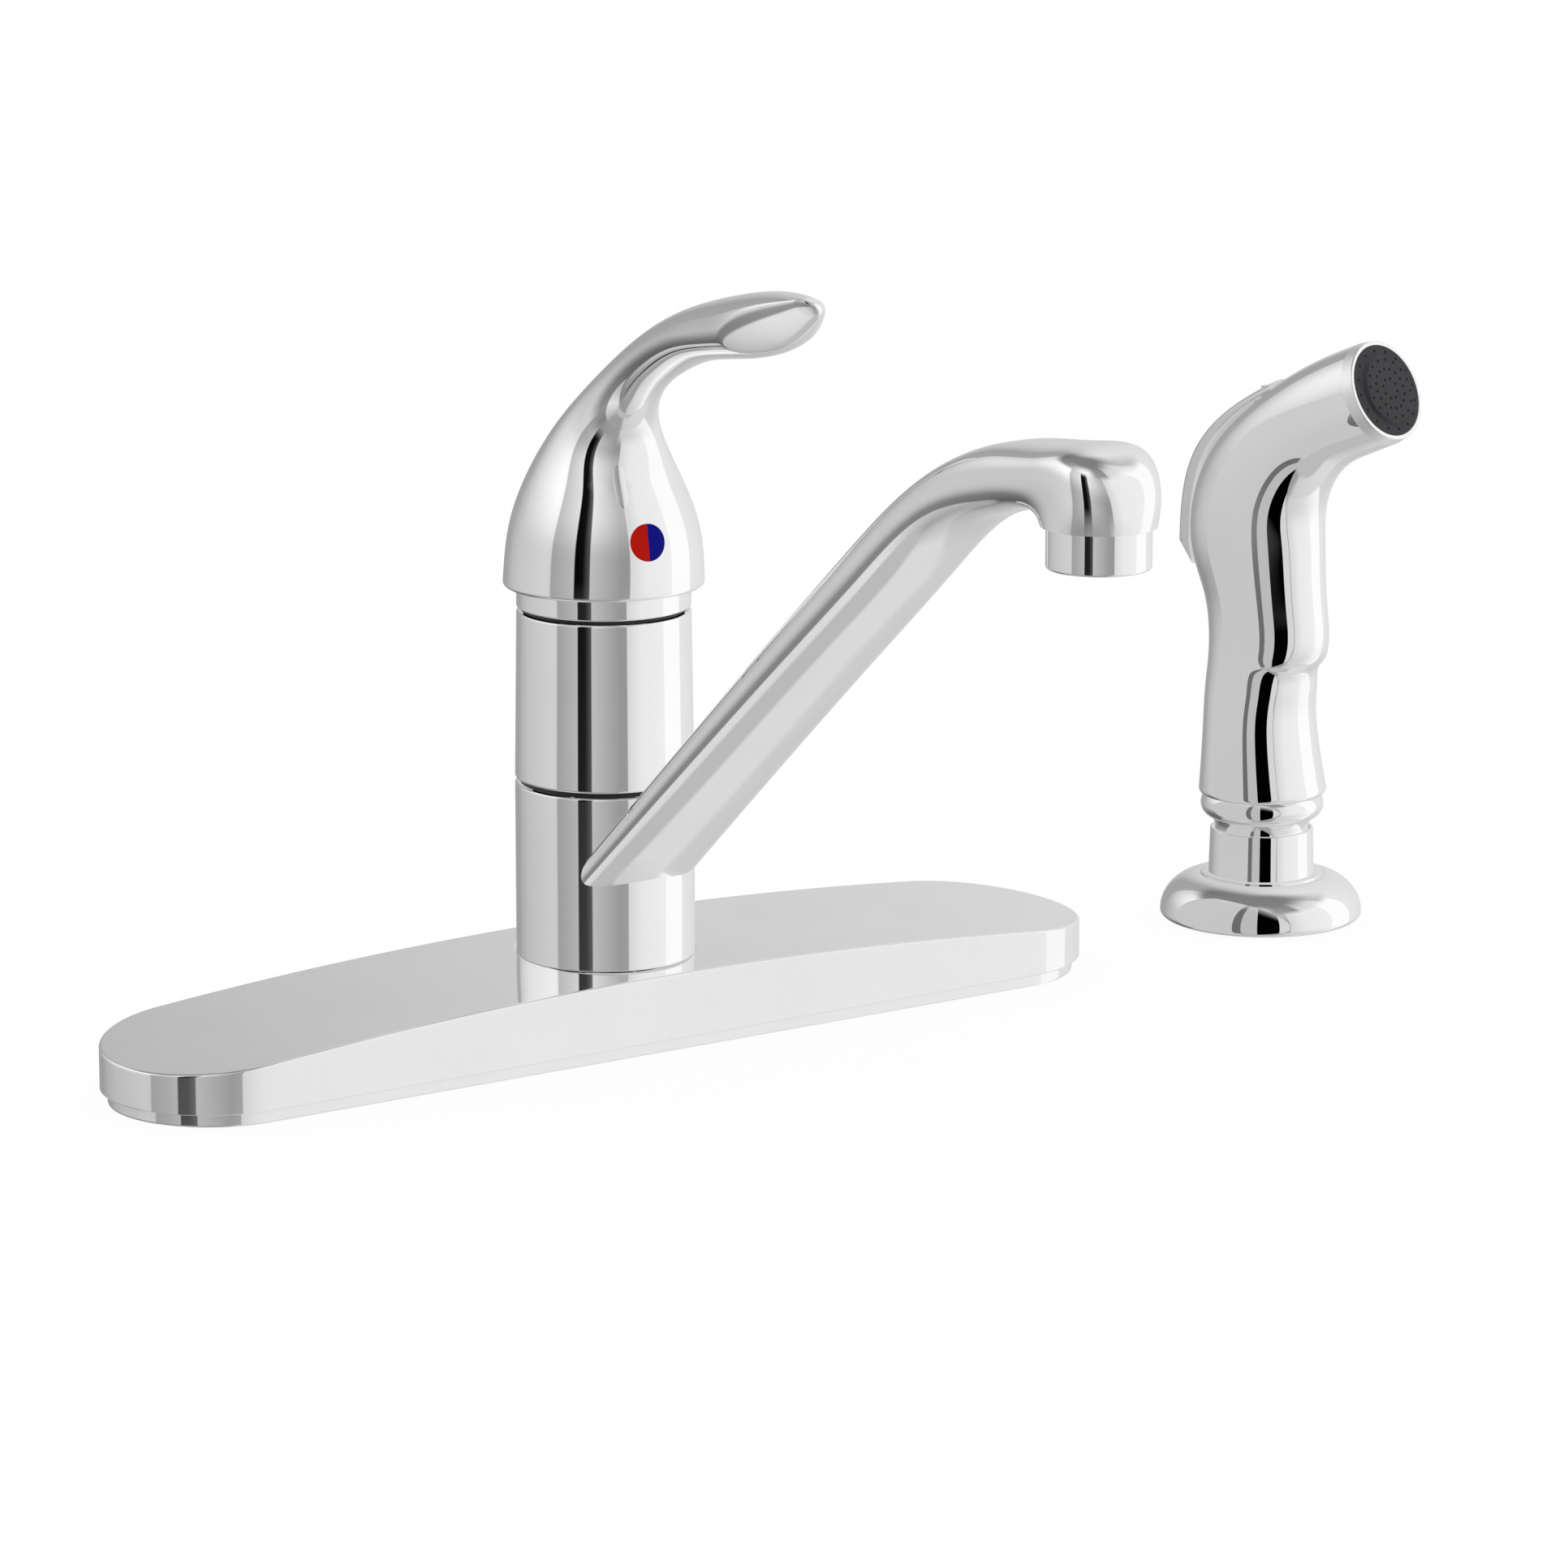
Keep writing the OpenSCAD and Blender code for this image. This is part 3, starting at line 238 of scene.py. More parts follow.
def newPiece(name, points, faces, sharp=35):  # points in mm
    mesh = bpy.data.meshes.new(name)
    mesh.from_pydata((np.asarray(points, float) * mm).tolist(), [], [list(f) for f in faces])
    mesh.update()
    shadeSmooth(mesh, sharp)
    piece = bpy.data.objects.new(name, mesh)
    bpy.context.scene.collection.objects.link(piece)
    return piece


def plainMesh(piece):  # the modifiers' result takes the place of the piece's mesh
    mesh = bpy.data.meshes.new_from_object(piece.evaluated_get(bpy.context.evaluated_depsgraph_get()))
    piece.modifiers.clear()
    piece.data = mesh
    return mesh


def dress(piece, body, slotName, material, *nodes):
    piece.data.materials.clear()
    piece.data.materials.append(material)
    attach(piece, body)
    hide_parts(*nodes)


def ringFaces(count, sides, loop=False):
    row = np.arange(count if loop else count - 1)[:, None]
    j = np.arange(sides)[None]
    k = (j + 1) % sides
    low, high = row * sides, (row + 1) % count * sides
    return np.stack([low + j, low + k, high + k, high + j], -1).reshape(-1, 4).tolist()


def skin(rings):  # closed surface through rings, each end closed to a middle point
    rings = np.asarray(rings, float)
    count, sides = rings.shape[:2]
    points = np.vstack([rings.reshape(-1, 3), rings[0].mean(0), rings[-1].mean(0)])
    faces = ringFaces(count, sides)
    start, end, last = count * sides, count * sides + 1, (count - 1) * sides
    for j in range(sides):
        k = (j + 1) % sides
        faces.append((start, k, j))
        faces.append((end, last + j, last + k))
    return points, faces


def softened(corners, steps=5, margin=0.12, share=0.45):  # closed outline, its corners rounded: r, z, radius
    out = []
    n = len(corners)
    for i, (r, z, radius) in enumerate(corners):
        here = np.array([r, z])
        if radius <= 0:
            out.append(here)
            continue
        before = np.array(corners[i - 1][:2]) - here
        after = np.array(corners[(i + 1) % n][:2]) - here
        lb, la = np.linalg.norm(before), np.linalg.norm(after)
        ub, ua = before / lb, after / la
        half = math.acos(max(-1, min(1, float(ub @ ua)))) / 2
        cut = min(radius / math.tan(half), share * lb, share * la)
        size = cut * math.tan(half)
        centre = here + (ub + ua) / np.linalg.norm(ub + ua) * size / math.sin(half)
        a, b = here + ub * cut - centre, here + ua * cut - centre
        turn = math.atan2(a[0] * b[1] - a[1] * b[0], float(a @ b))
        if lb - cut > 3 * margin:
            out.append(here + ub * (cut + margin))
        for s in range(steps + 1):
            t = turn * s / steps
            c, d = math.cos(t), math.sin(t)
            out.append(centre + np.array([a[0] * c - a[1] * d, a[0] * d + a[1] * c]))
        if la - cut > 3 * margin:
            out.append(here + ua * (cut + margin))
    return np.array(out)


def turned(outline, place=Matrix.Identity(4), sides=ringSides["plain"]):  # ring turned from an outline of r, z
    angle = np.linspace(0, 2 * math.pi, sides, endpoint=False)
    r, z = outline[:, 0][:, None], outline[:, 1][:, None]
    points = np.stack([r * np.cos(angle), r * np.sin(angle), z + 0 * angle], -1).reshape(-1, 3)
    turn, shift = np.array(place.to_3x3()), np.array(place.translation)
    return points @ turn.T + shift, ringFaces(len(outline), sides, True)


def smoothRows(keys, count):  # natural cubic spline through the rows, evenly spaced along y, z
    keys = np.asarray(keys, float)
    t = np.r_[0, np.cumsum(np.linalg.norm(np.diff(keys[:, :2], axis=0), axis=1))]
    n, h = len(t), np.diff(t)
    a, b = np.zeros((n, n)), np.zeros((n, keys.shape[1]))
    a[0, 0] = a[-1, -1] = 1
    for i in range(1, n - 1):
        a[i, i - 1:i + 2] = h[i - 1], 2 * (h[i - 1] + h[i]), h[i]
        b[i] = 6 * ((keys[i + 1] - keys[i]) / h[i] - (keys[i] - keys[i - 1]) / h[i - 1])
    m = np.linalg.solve(a, b)
    out = []
    for s in np.linspace(0, t[-1], count):
        i = min(int(np.searchsorted(t, s, side="right")) - 1, n - 2)
        u, v = t[i + 1] - s, s - t[i]
        out.append((m[i] * u ** 3 + m[i + 1] * v ** 3) / (6 * h[i])
                   + (keys[i] / h[i] - m[i] * h[i] / 6) * u + (keys[i + 1] / h[i] - m[i + 1] * h[i] / 6) * v)
    return np.array(out)


def evenRing(x, n, sides):  # a closed outline resampled in even steps from its first point
    x, n = np.r_[x, x[0]], np.r_[n, n[0]]
    d = np.r_[0, np.cumsum(np.hypot(np.diff(x), np.diff(n)))]
    s = np.linspace(0, d[-1], sides, endpoint=False)
    return np.interp(s, d, x), np.interp(s, d, n)


def ovalRing(row, fine=720):  # row: y, z, tilt, half height, half width, squareness
    y, z, tilt, h, w, e = row[:6]
    t = np.linspace(0, 2 * math.pi, fine, endpoint=False)
    c, s = np.cos(t), np.sin(t)
    x, n = evenRing(w * np.sign(c) * abs(c) ** (2 / e), h * np.sign(s) * abs(s) ** (2 / e), ringSides["plain"])
    a = math.radians(tilt)
    return np.stack([x, y + n * math.cos(a), z + n * math.sin(a)], -1)


def turnedBy(points, degrees, shift=(0, 0, 0)):
    a = math.radians(degrees)
    c, s = math.cos(a), math.sin(a)
    p = np.asarray(points, float)
    x, y = p[..., 0] * c - p[..., 1] * s, p[..., 0] * s + p[..., 1] * c
    return np.stack([x, y, p[..., 2]], -1) + np.array(shift)


def cutFrom(piece, cutter):  # leaves the cutter's space out of the piece and removes the cutter
    cut = piece.modifiers.new("cut", "BOOLEAN")
    cut.operation, cut.solver, cut.object = "DIFFERENCE", "EXACT", cutter
    shadeSmooth(plainMesh(piece))
    bpy.data.objects.remove(cutter)


def roundCutter(x, y, r, low, high, sides=ringSides["cutter"]):
    a = np.linspace(0, 2 * math.pi, sides, endpoint=False)
    rings = [np.stack([x + r * np.cos(a), y + r * np.sin(a), z + 0 * a], -1) for z in (low, high)]
    return newPiece("cutter", *skin(rings))


# deck plate and the tray under it; a bore is radius, low, high
plate = {"length": 274.94, "depth": 54.4, "crown": 20.6, "end": 12.9, "fall": 2.1, "edge": 0.6,
         "foot": 3.3, "bevel": 0.2, "hold": 0.15, "recess": (22.3, 19.9, 30), "bore": (17.8, 0, 25),
         "runSteps": 120, "arcSteps": 72, "edgeSteps": 5, "topRings": 26, "topStart": 1.2, "topEnd": 0.4,
         "underEnd": 1.0}


def plateTop(x, y, drop=0.0):
    sag = plate["crown"] - plate["end"]
    radius = ((plate["length"] / 2) ** 2 + sag * sag) / (2 * sag)
    return plate["crown"] + y * plate["fall"] / plate["depth"] + np.sqrt(radius ** 2 - x * x) - radius - drop


def plateOutline(inset):
    r, x = plate["depth"] / 2 - inset, (plate["length"] - plate["depth"]) / 2
    run, arc = np.linspace(-x, x, plate["runSteps"]), np.linspace(-math.pi / 2, math.pi / 2, plate["arcSteps"])
    right = np.stack([x + r * np.cos(arc), r * np.sin(arc)], -1)
    front = np.stack([run, np.full_like(run, -r)], -1)
    return np.vstack([front[:-1], right[:-1], -front[:-1], -right[:-1]])


def slab(name, levels, weld=2e-6, sliver=1e-7):  # levels are inset, height: up the outside, in over the top
    rings = []
    for inset, height in levels:
        p = plateOutline(inset)
        z = height(p[:, 0], p[:, 1]) if callable(height) else np.full(len(p), height)
        rings.append(np.c_[p, z])
    shell = newPiece(name, np.vstack(rings), ringFaces(len(rings), len(rings[0])))
    work = bmesh.new()
    work.from_mesh(shell.data)
    bmesh.ops.remove_doubles(work, verts=work.verts, dist=weld)
    bmesh.ops.dissolve_degenerate(work, edges=work.edges, dist=sliver)
    work.to_mesh(shell.data)
    work.free()
    return shell


half, edge, foot = plate["depth"] / 2, plate["edge"], plate["foot"]
levels = [(half, foot), (plate["underEnd"], foot), (plate["bevel"], foot), (0, foot + plate["bevel"]),
          (0, foot + plate["bevel"] + plate["hold"])]
rounding = [(0, edge + plate["hold"]), (0, edge)]
for i in range(1, plate["edgeSteps"] + 1):
    t = math.radians(90 / plate["edgeSteps"] * i)
    rounding.append((edge * (1 - math.cos(t)), edge * (1 - math.sin(t))))
for inset, drop in rounding:
    levels.append((inset, lambda x, y, d=drop: plateTop(x, y, d)))
topInsets = np.linspace(plate["topStart"], half - plate["topEnd"], plate["topRings"])
for inset in [edge + plate["hold"], *topInsets, half]:
    levels.append((inset, plateTop))
deckPlate = slab("deckPlate", levels)
cutFrom(deckPlate, roundCutter(0, 0, *plate["recess"]))
cutFrom(deckPlate, roundCutter(0, 0, *plate["bore"]))
dress(deckPlate, "fixed", "chrome_metal", plateChrome, "deck_plate")

tray = {
    "inset": 1.8, "bore": (16.5, -1, 5), "studBore": (4.4, -1, 5), "studs": 203.2,
    # inset from its own edge and height: underside, groove, rounded foot, wall and bevel
    "profile": [(7.0, 0), (6.83, 0), (6.83, 1.2), (3, 1.2), (3, 0), (0.5, 0), (0.35, 0), (0.1, 0.1), (0, 0.35),
                (0, 0.5), (0, 3.1), (0.2, 3.3)],
}
levels = [(tray["inset"] + inset, height) for inset, height in tray["profile"]]
deckTray = slab("deckTray", [(half, 0), *levels, (half, foot)])
cutFrom(deckTray, roundCutter(0, 0, *tray["bore"]))
for side in (-1, 1):
    cutFrom(deckTray, roundCutter(side * tray["studs"] / 2, 0, *tray["studBore"], ringSides["stud"]))
dress(deckTray, "fixed", "chrome_metal", plateChrome, "deck_tray")
print("plate and tray made")

# turned parts of the faucet's body
hub = {"radius": 21.7, "bore": 17.45, "low": 20.15, "seat": 21.2, "skirt": 21.1, "top": 62.8, "edge": 0.55,
       "lowEdge": 0.2}
spoutHub = newPiece("spoutHub", *turned(softened([
    (hub["bore"], hub["seat"], 0), (hub["skirt"], hub["seat"], 0), (hub["skirt"], hub["low"], 0),
    (hub["radius"], hub["low"], hub["lowEdge"]), (hub["radius"], hub["top"], hub["edge"]),
    (hub["bore"], hub["top"], 0)]), sides=ringSides["large"]))
dress(spoutHub, "spout", "chrome_metal", chrome, "spout_hub")

sleeve = {"low": 64.0, "top": 105.0, "lowRadius": 21.7, "topRadius": 21.1, "edge": 0.55, "neck": 17.4,
          "neckHeight": 3, "bore": 19.9}
bodySleeve = newPiece("bodySleeve", *turned(softened([
    (sleeve["neck"], sleeve["low"], 0), (sleeve["lowRadius"], sleeve["low"], sleeve["edge"]),
    (sleeve["topRadius"], sleeve["top"], sleeve["edge"]), (sleeve["bore"], sleeve["top"], 0),
    (sleeve["bore"], sleeve["low"] + sleeve["neckHeight"], 0),
    (sleeve["neck"], sleeve["low"] + sleeve["neckHeight"], 0)]), sides=ringSides["large"]))
dress(bodySleeve, "fixed", "chrome_metal", chrome, "body_sleeve")

collar = {"low": 106.0, "top": 111.2, "radius": 21.1, "bore": 15.8, "lowEdge": 0.35, "topEdge": 0.5}
collarRing = newPiece("collarRing", *turned(softened([
    (collar["bore"], collar["low"], 0), (collar["radius"], collar["low"], collar["lowEdge"]),
    (collar["radius"], collar["top"], collar["topEdge"]), (collar["bore"], collar["top"], 0)]),
    sides=ringSides["large"]))
dress(collarRing, "fixed", "chrome_metal", chrome, "collar_ring")
print("body made")

# spout arm and its outlet; rows are y, z, tilt, half height, half width, squareness
spout = {
    "rows": [(-7.9, 38.1, 61.6, 5.7, 16.5, 2.2), (-50.8, 75.6, 58.1, 6.9, 15.6, 2.2),
             (-90.8, 109.9, 51.7, 7.3, 15, 2.3), (-124.3, 138.2, 53.1, 7.5, 14.5, 2.4),
             (-148.5, 156, 63.8, 7.24, 14, 2.6), (-169.3, 163.65, 84.8, 7.78, 13.6, 2.8),
             (-184.1, 165.95, 121.6, 9.34, 13.3, 3), (-192.8, 165.3, 145.4, 12.87, 13.1, 3),
             (-195.75, 161.4, 162, 13.3, 12.9, 2.5), (-196.1, 156.5, 180, 12.9, 12.9, 2)],
    "rings": 260, "hubBore": (21.6, 20, 70), "outlet": 156.5, "reach": 196.2, "outletBore": 10.6,
    "boreBelow": 5, "boreAbove": 6,
}
outlet = spout["outlet"]
spoutArm = newPiece("spoutArm", *skin([ovalRing(r) for r in smoothRows(spout["rows"], spout["rings"])]))
cutFrom(spoutArm, roundCutter(0, 0, *spout["hubBore"]))
cutFrom(spoutArm, roundCutter(0, -spout["reach"], spout["outletBore"], outlet - spout["boreBelow"],
                              outlet + spout["boreAbove"]))
dress(spoutArm, "spout", "chrome_metal", chrome, "spout_arm")

aerator = {"radius": 11.7, "drop": 9.3, "mouth": 8.4, "bore": 9.2, "neck": 10.6, "neckHeight": 4.8,
           "ledge": 1, "edge": 0.5, "topEdge": 0.15, "mouthEdge": 0.2, "ledgeEdge": 0.1}
down, neckTop = outlet - aerator["drop"], outlet + aerator["neckHeight"]
aeratorRing = newPiece("aeratorRing", *turned(softened([
    (aerator["mouth"], down, aerator["mouthEdge"]), (aerator["radius"], down, aerator["edge"]),
    (aerator["radius"], outlet, aerator["topEdge"]), (aerator["neck"], outlet, 0),
    (aerator["neck"], neckTop, 0), (aerator["bore"], neckTop, 0), (aerator["bore"], down + aerator["ledge"], 0),
    (aerator["mouth"], down + aerator["ledge"], aerator["ledgeEdge"])]),
    Matrix.Translation((0, -spout["reach"], 0))))
dress(aeratorRing, "spout", "chrome_metal", chrome, "aerator_housing")
print("spout made")

# handle: a dome that draws out into the lever
lever = {
    "rows": [(0, 112, 0, 24.3, 24.3, 2), (-.71, 126.1, 4.2, 22.91, 22.75, 2),
             (-2.07, 140.76, 12.2, 17.3, 16.95, 2), (-6.68, 152.52, 32.2, 10.33, 11.14, 2),
             (-16.37, 162.68, 50.9, 6.61, 8.18, 2), (-32.51, 172.02, 65.5, 5.91, 8.31, 2),
             (-53.28, 179.79, 74.7, 6.42, 9.89, 2), (-76.25, 184.93, 77.9, 7.4, 10.97, 2),
             (-95.02, 189.26, 77.15, 6.34, 9.65, 2), (-106.67, 193.15, 71.55, 2.93, 4.55, 2)],
    "rings": 420, "turn": -7.7, "rim": 111.2, "edge": 0.8, "edgeSteps": 5, "rimInner": 23.3, "lip": 22.0,
    "bevel": 0.2, "cave": 21.8, "caveRise": 4.0, "caveSteps": 10, "caveStart": 3,
    "tip": 2.6, "tipStart": 50, "tipSteps": 20, "tipLeast": 0.02,
}
rim, cave, edge, outer = lever["rim"], lever["cave"], lever["edge"], lever["rows"][0][3]
rounds = []  # heights and radii
for i in range(lever["caveSteps"]):  # hollow under the dome, from its top down to the rim
    t = math.radians(90 / lever["caveSteps"] * i + lever["caveStart"])
    rounds.append((rim + lever["caveRise"] + cave * math.cos(t), cave * math.sin(t)))
rounds += [(rim + lever["caveRise"], cave), (rim + lever["bevel"], cave), (rim, lever["lip"]),
           (rim, lever["rimInner"])]
for i in range(lever["edgeSteps"] + 1):  # the rim's rounded edge
    t = math.radians(90 / lever["edgeSteps"] * i)
    rounds.append((rim + edge * (1 - math.cos(t)), outer - edge * (1 - math.sin(t))))
leverRows = smoothRows(lever["rows"], lever["rings"])
leverRings = [(0, height, 0, radius, radius, 2) for height, radius in rounds] + list(leverRows[1:])
y, z, tilt, h, w, q = leverRows[-1]
lean, start = math.radians(tilt), math.radians(lever["tipStart"])
for i in range(1, lever["tipSteps"] + 1):  # the tip goes on from the last row's slope
    t = math.radians(lever["tipStart"] + (90 - lever["tipStart"]) / lever["tipSteps"] * i)
    k = max(math.cos(t) / math.cos(start), lever["tipLeast"])
    out = lever["tip"] * (math.sin(t) - math.sin(start)) / (1 - math.sin(start))
    leverRings.append((y - out * math.sin(lean), z + out * math.cos(lean), tilt, h * k, w * k, q))

# a leaf-shaped flat pressed into each side of the lever's end, the far one only shallow
leaf = {"facing": (-0.727, -0.516, -0.454), "offset": -33.4, "far": -29.4, "kept": 0.2, "edge": 0.9,
        "start": -66}


def leverRing(row):
    out = ovalRing(row)
    for side, offset in ((1, leaf["offset"]), (-1, leaf["far"])):
        local = out * (side, 1, 1)
        over = local @ np.array(leaf["facing"]) - offset
        over = np.where((local[..., 1] < leaf["start"]) & (over > 0), over, 0)
        cut = (np.sqrt(over ** 2 + leaf["edge"] ** 2) - leaf["edge"]) * (1 - leaf["kept"])
        out -= cut[..., None] * leaf["facing"] * np.array((side, 1, 1))
    return turnedBy(out, lever["turn"])


leverHandle = newPiece("leverHandle", *skin([leverRing(r) for r in leverRings]), sharp=180)
dress(leverHandle, "lever", "chrome_metal", chrome, "handle")

# hot and cold index: two halves of a thin domed disc, whose rows are depth and radius
index = {
    "rows": [(-1.2, 4.5), (0.0, 4.5), (0.1, 4.46), (0.14, 4.36), (0.14, 4.2), (0.14, 3.4), (0.14, 2),
             (0.14, 0.7)],
    "place": (0.45, -23.62, 125.2), "tilt": 10, "acrossBend": 47, "upBend": 400, "steps": 40,
}
indexFrame = (Matrix.Rotation(math.radians(lever["turn"]), 4, "Z") @ Matrix.Translation(index["place"])
              @ Matrix.Rotation(math.radians(90 - index["tilt"]), 4, "X"))
arc = np.linspace(-math.pi / 2, math.pi / 2, index["steps"])
halves = ((-1, "hot", "red_mark", redEnamel), (1, "cold", "blue_mark", blueEnamel))
for side, name, slotName, material in halves:
    rings = []
    for depth, r in index["rows"]:
        x, y = side * r * np.cos(arc), r * np.sin(arc) * side
        rings.append(np.stack([x, y, depth - x * x / index["acrossBend"] - y * y / index["upBend"]], -1))
    points, faces = skin(rings)
    points = np.c_[points, np.ones(len(points))] @ np.array(indexFrame).T
    dress(newPiece(name + "Index", points[:, :3], faces), "lever", slotName, material, name + "_index")
print("handle made")

# hand spray
spray = {"x": 203.2, "turn": 12.9, "nozzle": (0, -35.2, 141.2), "nozzleTilt": 66.4}
sprayFoot = (spray["x"], 0, 0)
holderPlace = Matrix.Translation(sprayFoot)
nozzlePlace = (holderPlace @ Matrix.Rotation(math.radians(spray["turn"]), 4, "Z")
               @ Matrix.Translation(spray["nozzle"])
               @ Matrix.Rotation(math.radians(spray["nozzleTilt"]), 4, "X"))

holder = {"radius": 26.0, "height": 12.0, "ledge": 15.7, "ledgeDrop": 0.6, "dip": 1.7, "foot": 23.7,
          "edge": 0.25, "bevel": 0.08, "bore": 12.9, "footSteps": 8, "domeSteps": 32,
          "hollow": [(12.9, 9.4), (15.7, 9.4), (19, 8.2), (21.7, 1.7)]}
height, dip, ledge, edge, bevel = (holder[key] for key in ("height", "dip", "ledge", "edge", "bevel"))
outline = [(holder["hollow"][-1][0], 0), (holder["foot"] - edge, 0), (holder["foot"], bevel)]
for i in range(holder["footSteps"]):  # tucked under side
    t = math.radians(90 * i / holder["footSteps"])
    outline.append((holder["foot"] + (holder["radius"] - holder["foot"]) * math.sin(t),
                    bevel + (dip - bevel) * (1 - math.cos(t))))
for i in range(holder["domeSteps"] + 1):
    t = math.radians(90 * i / holder["domeSteps"])
    outline.append((ledge + (holder["radius"] - ledge) * math.cos(t),
                    dip + (height - holder["ledgeDrop"] - dip) * math.sin(t)))
outline += [(ledge, height - edge), (ledge - bevel, height - bevel), (ledge - edge, height),
            (holder["bore"], height), *holder["hollow"]]
holderDome = newPiece("holderDome", *turned(np.array(outline), holderPlace, ringSides["large"]))
dress(holderDome, "fixed", "chrome_metal", chrome, "holder_base")

cup = {"low": 13.6, "top": 13.25, "height": 23.8, "bore": 12.3, "foot": 12, "floor": 14, "throat": 11.05,
       "throatLow": 3, "shank": 12.9, "shankEnd": -30, "shankEdge": 0.4, "shankBore": 9.5, "edge": 0.3,
       "boreEdge": 0.25}
holderCup = newPiece("holderCup", *turned(softened([
    (cup["shankBore"], cup["shankEnd"], 0), (cup["shank"], cup["shankEnd"], cup["shankEdge"]),
    (cup["shank"], cup["foot"], 0), (cup["low"], cup["foot"], 0), (cup["top"], cup["height"], cup["edge"]),
    (cup["bore"], cup["height"], cup["boreEdge"]), (cup["bore"], cup["floor"], 0),
    (cup["throat"], cup["floor"], 0), (cup["throat"], cup["throatLow"], 0),
    (cup["shankBore"], cup["throatLow"], 0)]), holderPlace))
dress(holderCup, "fixed", "chrome_metal", chrome, "holder_guide")

tail = {"bore": 5.95, "low": 15, "top": 42.2, "neck": 10.95, "beadMiddle": 12.1, "beadHeight": 30.2,
        "beadRadius": 3.7, "beadStart": -75, "beadSweep": 121, "beadSteps": 24,
        "cone": [(11.0, 15), (11.2, 15.15), (12.1, 23.8), (12.2, 25.2)]}
outline = [(tail["bore"], tail["low"]), *tail["cone"]]
for i in range(tail["beadSteps"] + 1):
    t = math.radians(tail["beadStart"] + tail["beadSweep"] * i / tail["beadSteps"])
    outline.append((tail["beadMiddle"] + tail["beadRadius"] * math.cos(t),
                    tail["beadHeight"] + tail["beadRadius"] * math.sin(t)))
outline += [(tail["neck"], outline[-1][1]), (tail["neck"], tail["top"]), (tail["bore"], tail["top"])]
wandTail = newPiece("wandTail", *turned(np.array(outline), holderPlace))
dress(wandTail, "wand", "chrome_plastic", chrome, "wand_tail")

wand = {
    "rows": [(-.1, 34.2, 0, 16.1, 16.9, 2), (.9, 48, 2, 14.5, 15.5, 2), (.7, 60.9, 1, 14.4, 14.6, 2),
             (-1.2, 70, -1.5, 15.9, 14.2, 2), (-.3, 83.7, 1, 16.6, 14.1, 2), (2.5, 97.1, 1, 18.5, 15.1, 2),
             (.83, 112.4, 19, 17.4, 15.3, 2), (-9.4, 126.8, 35.3, 14.4, 14.8, 2),
             (-23.9, 136.1, 52.6, 13.7, 14.2, 2), (-35.2, 141.2, 66.4, 13.4, 13.4, 2)],
    "rings": 220, "edge": 1.3, "edgeSteps": 6,
    # a shallow ledge crosses the front of the grip, and climbs and fades towards its sides
    "ledge": 66.3, "ledgeDepth": 1.5, "ledgeAbove": 1.9, "ledgeBelow": 4.5, "ledgeClimb": 2.0, "ledgeFade": 0.7,
}
wandRows = smoothRows(wand["rows"], wand["rings"])
wandRings = []
y, z, tilt, h, w, q = wandRows[0]
for i in range(wand["edgeSteps"] + 1):  # the rounded lower edge
    t = math.radians(90 / wand["edgeSteps"] * i)
    cut = wand["edge"] * (1 - math.sin(t))
    wandRings.append((y, z - wand["edge"] * math.cos(t), tilt, h - cut, w - cut, q))
wandRings += list(wandRows[1:])


def wandRing(row):
    ring = ovalRing(row)
    front = np.clip((row[0] - ring[:, 1]) / row[3], 0, 1) ** wand["ledgeFade"]
    off = ring[:, 2] - wand["ledge"] - wand["ledgeClimb"] * (1 - front)
    reach = np.where(off > 0, wand["ledgeAbove"], wand["ledgeBelow"])
    dent = wand["ledgeDepth"] * front * np.exp(-(off / reach) ** 2)
    out = ring[:, :2] - (0, row[0])
    ring[:, :2] -= out / np.linalg.norm(out, axis=1)[:, None] * dent[:, None]
    return turnedBy(ring, spray["turn"], sprayFoot)


wandShell = newPiece("wandShell", *skin([wandRing(r) for r in wandRings]))

# trigger: a curved paddle let into the wand's back; rows are y, z, tilt, half height, half width, thickness
paddle = {
    "rows": [(4.6, 96.8, 1, 20.5, 15.4, 3.6), (2.2, 114.5, 19, 19.8, 14.7, 3.0),
             (-7.9, 127.2, 33, 15.9, 15.5, 1.7), (-23.8, 135.8, 41, 14.6, 14.9, 0.9)],
    "foot": (3.75, 91.2, 1, 16.8, 15.0, 0.45), "rings": 150, "kept": 125, "footRings": 13, "across": 33,
    "half": 7.0, "edge": 0.5, "edgeShare": 0.45,
    "gap": 0.4, "cutLift": 6, "cutDepth": 5.0, "cutDrop": 1.5, "cutEach": 3,
}


def paddleRing(row, halfWidth, outer, inner, soft=0.0):  # outer and inner radius across the wand's back
    y, z, tilt, h, w = row[:5]
    x = np.linspace(halfWidth, -halfWidth, paddle["across"])
    bow = h * np.sqrt(1 - (x / w) ** 2) - h
    top, bottom = outer + bow, inner + bow
    if soft:  # rounded along both sides
        soft = min(soft, paddle["edgeShare"] * (outer - inner))
        inward = np.minimum(1, (halfWidth - abs(x)) / soft)
        trim = soft * (1 - np.sqrt(1 - (1 - inward) ** 2))
        top, bottom = top - trim, bottom + trim
    across, n = np.r_[x, x[::-1]], np.r_[top, bottom[::-1]]
    a = math.radians(tilt)
    return turnedBy(np.stack([across, y + n * math.cos(a), z + n * math.sin(a)], -1), spray["turn"], sprayFoot)


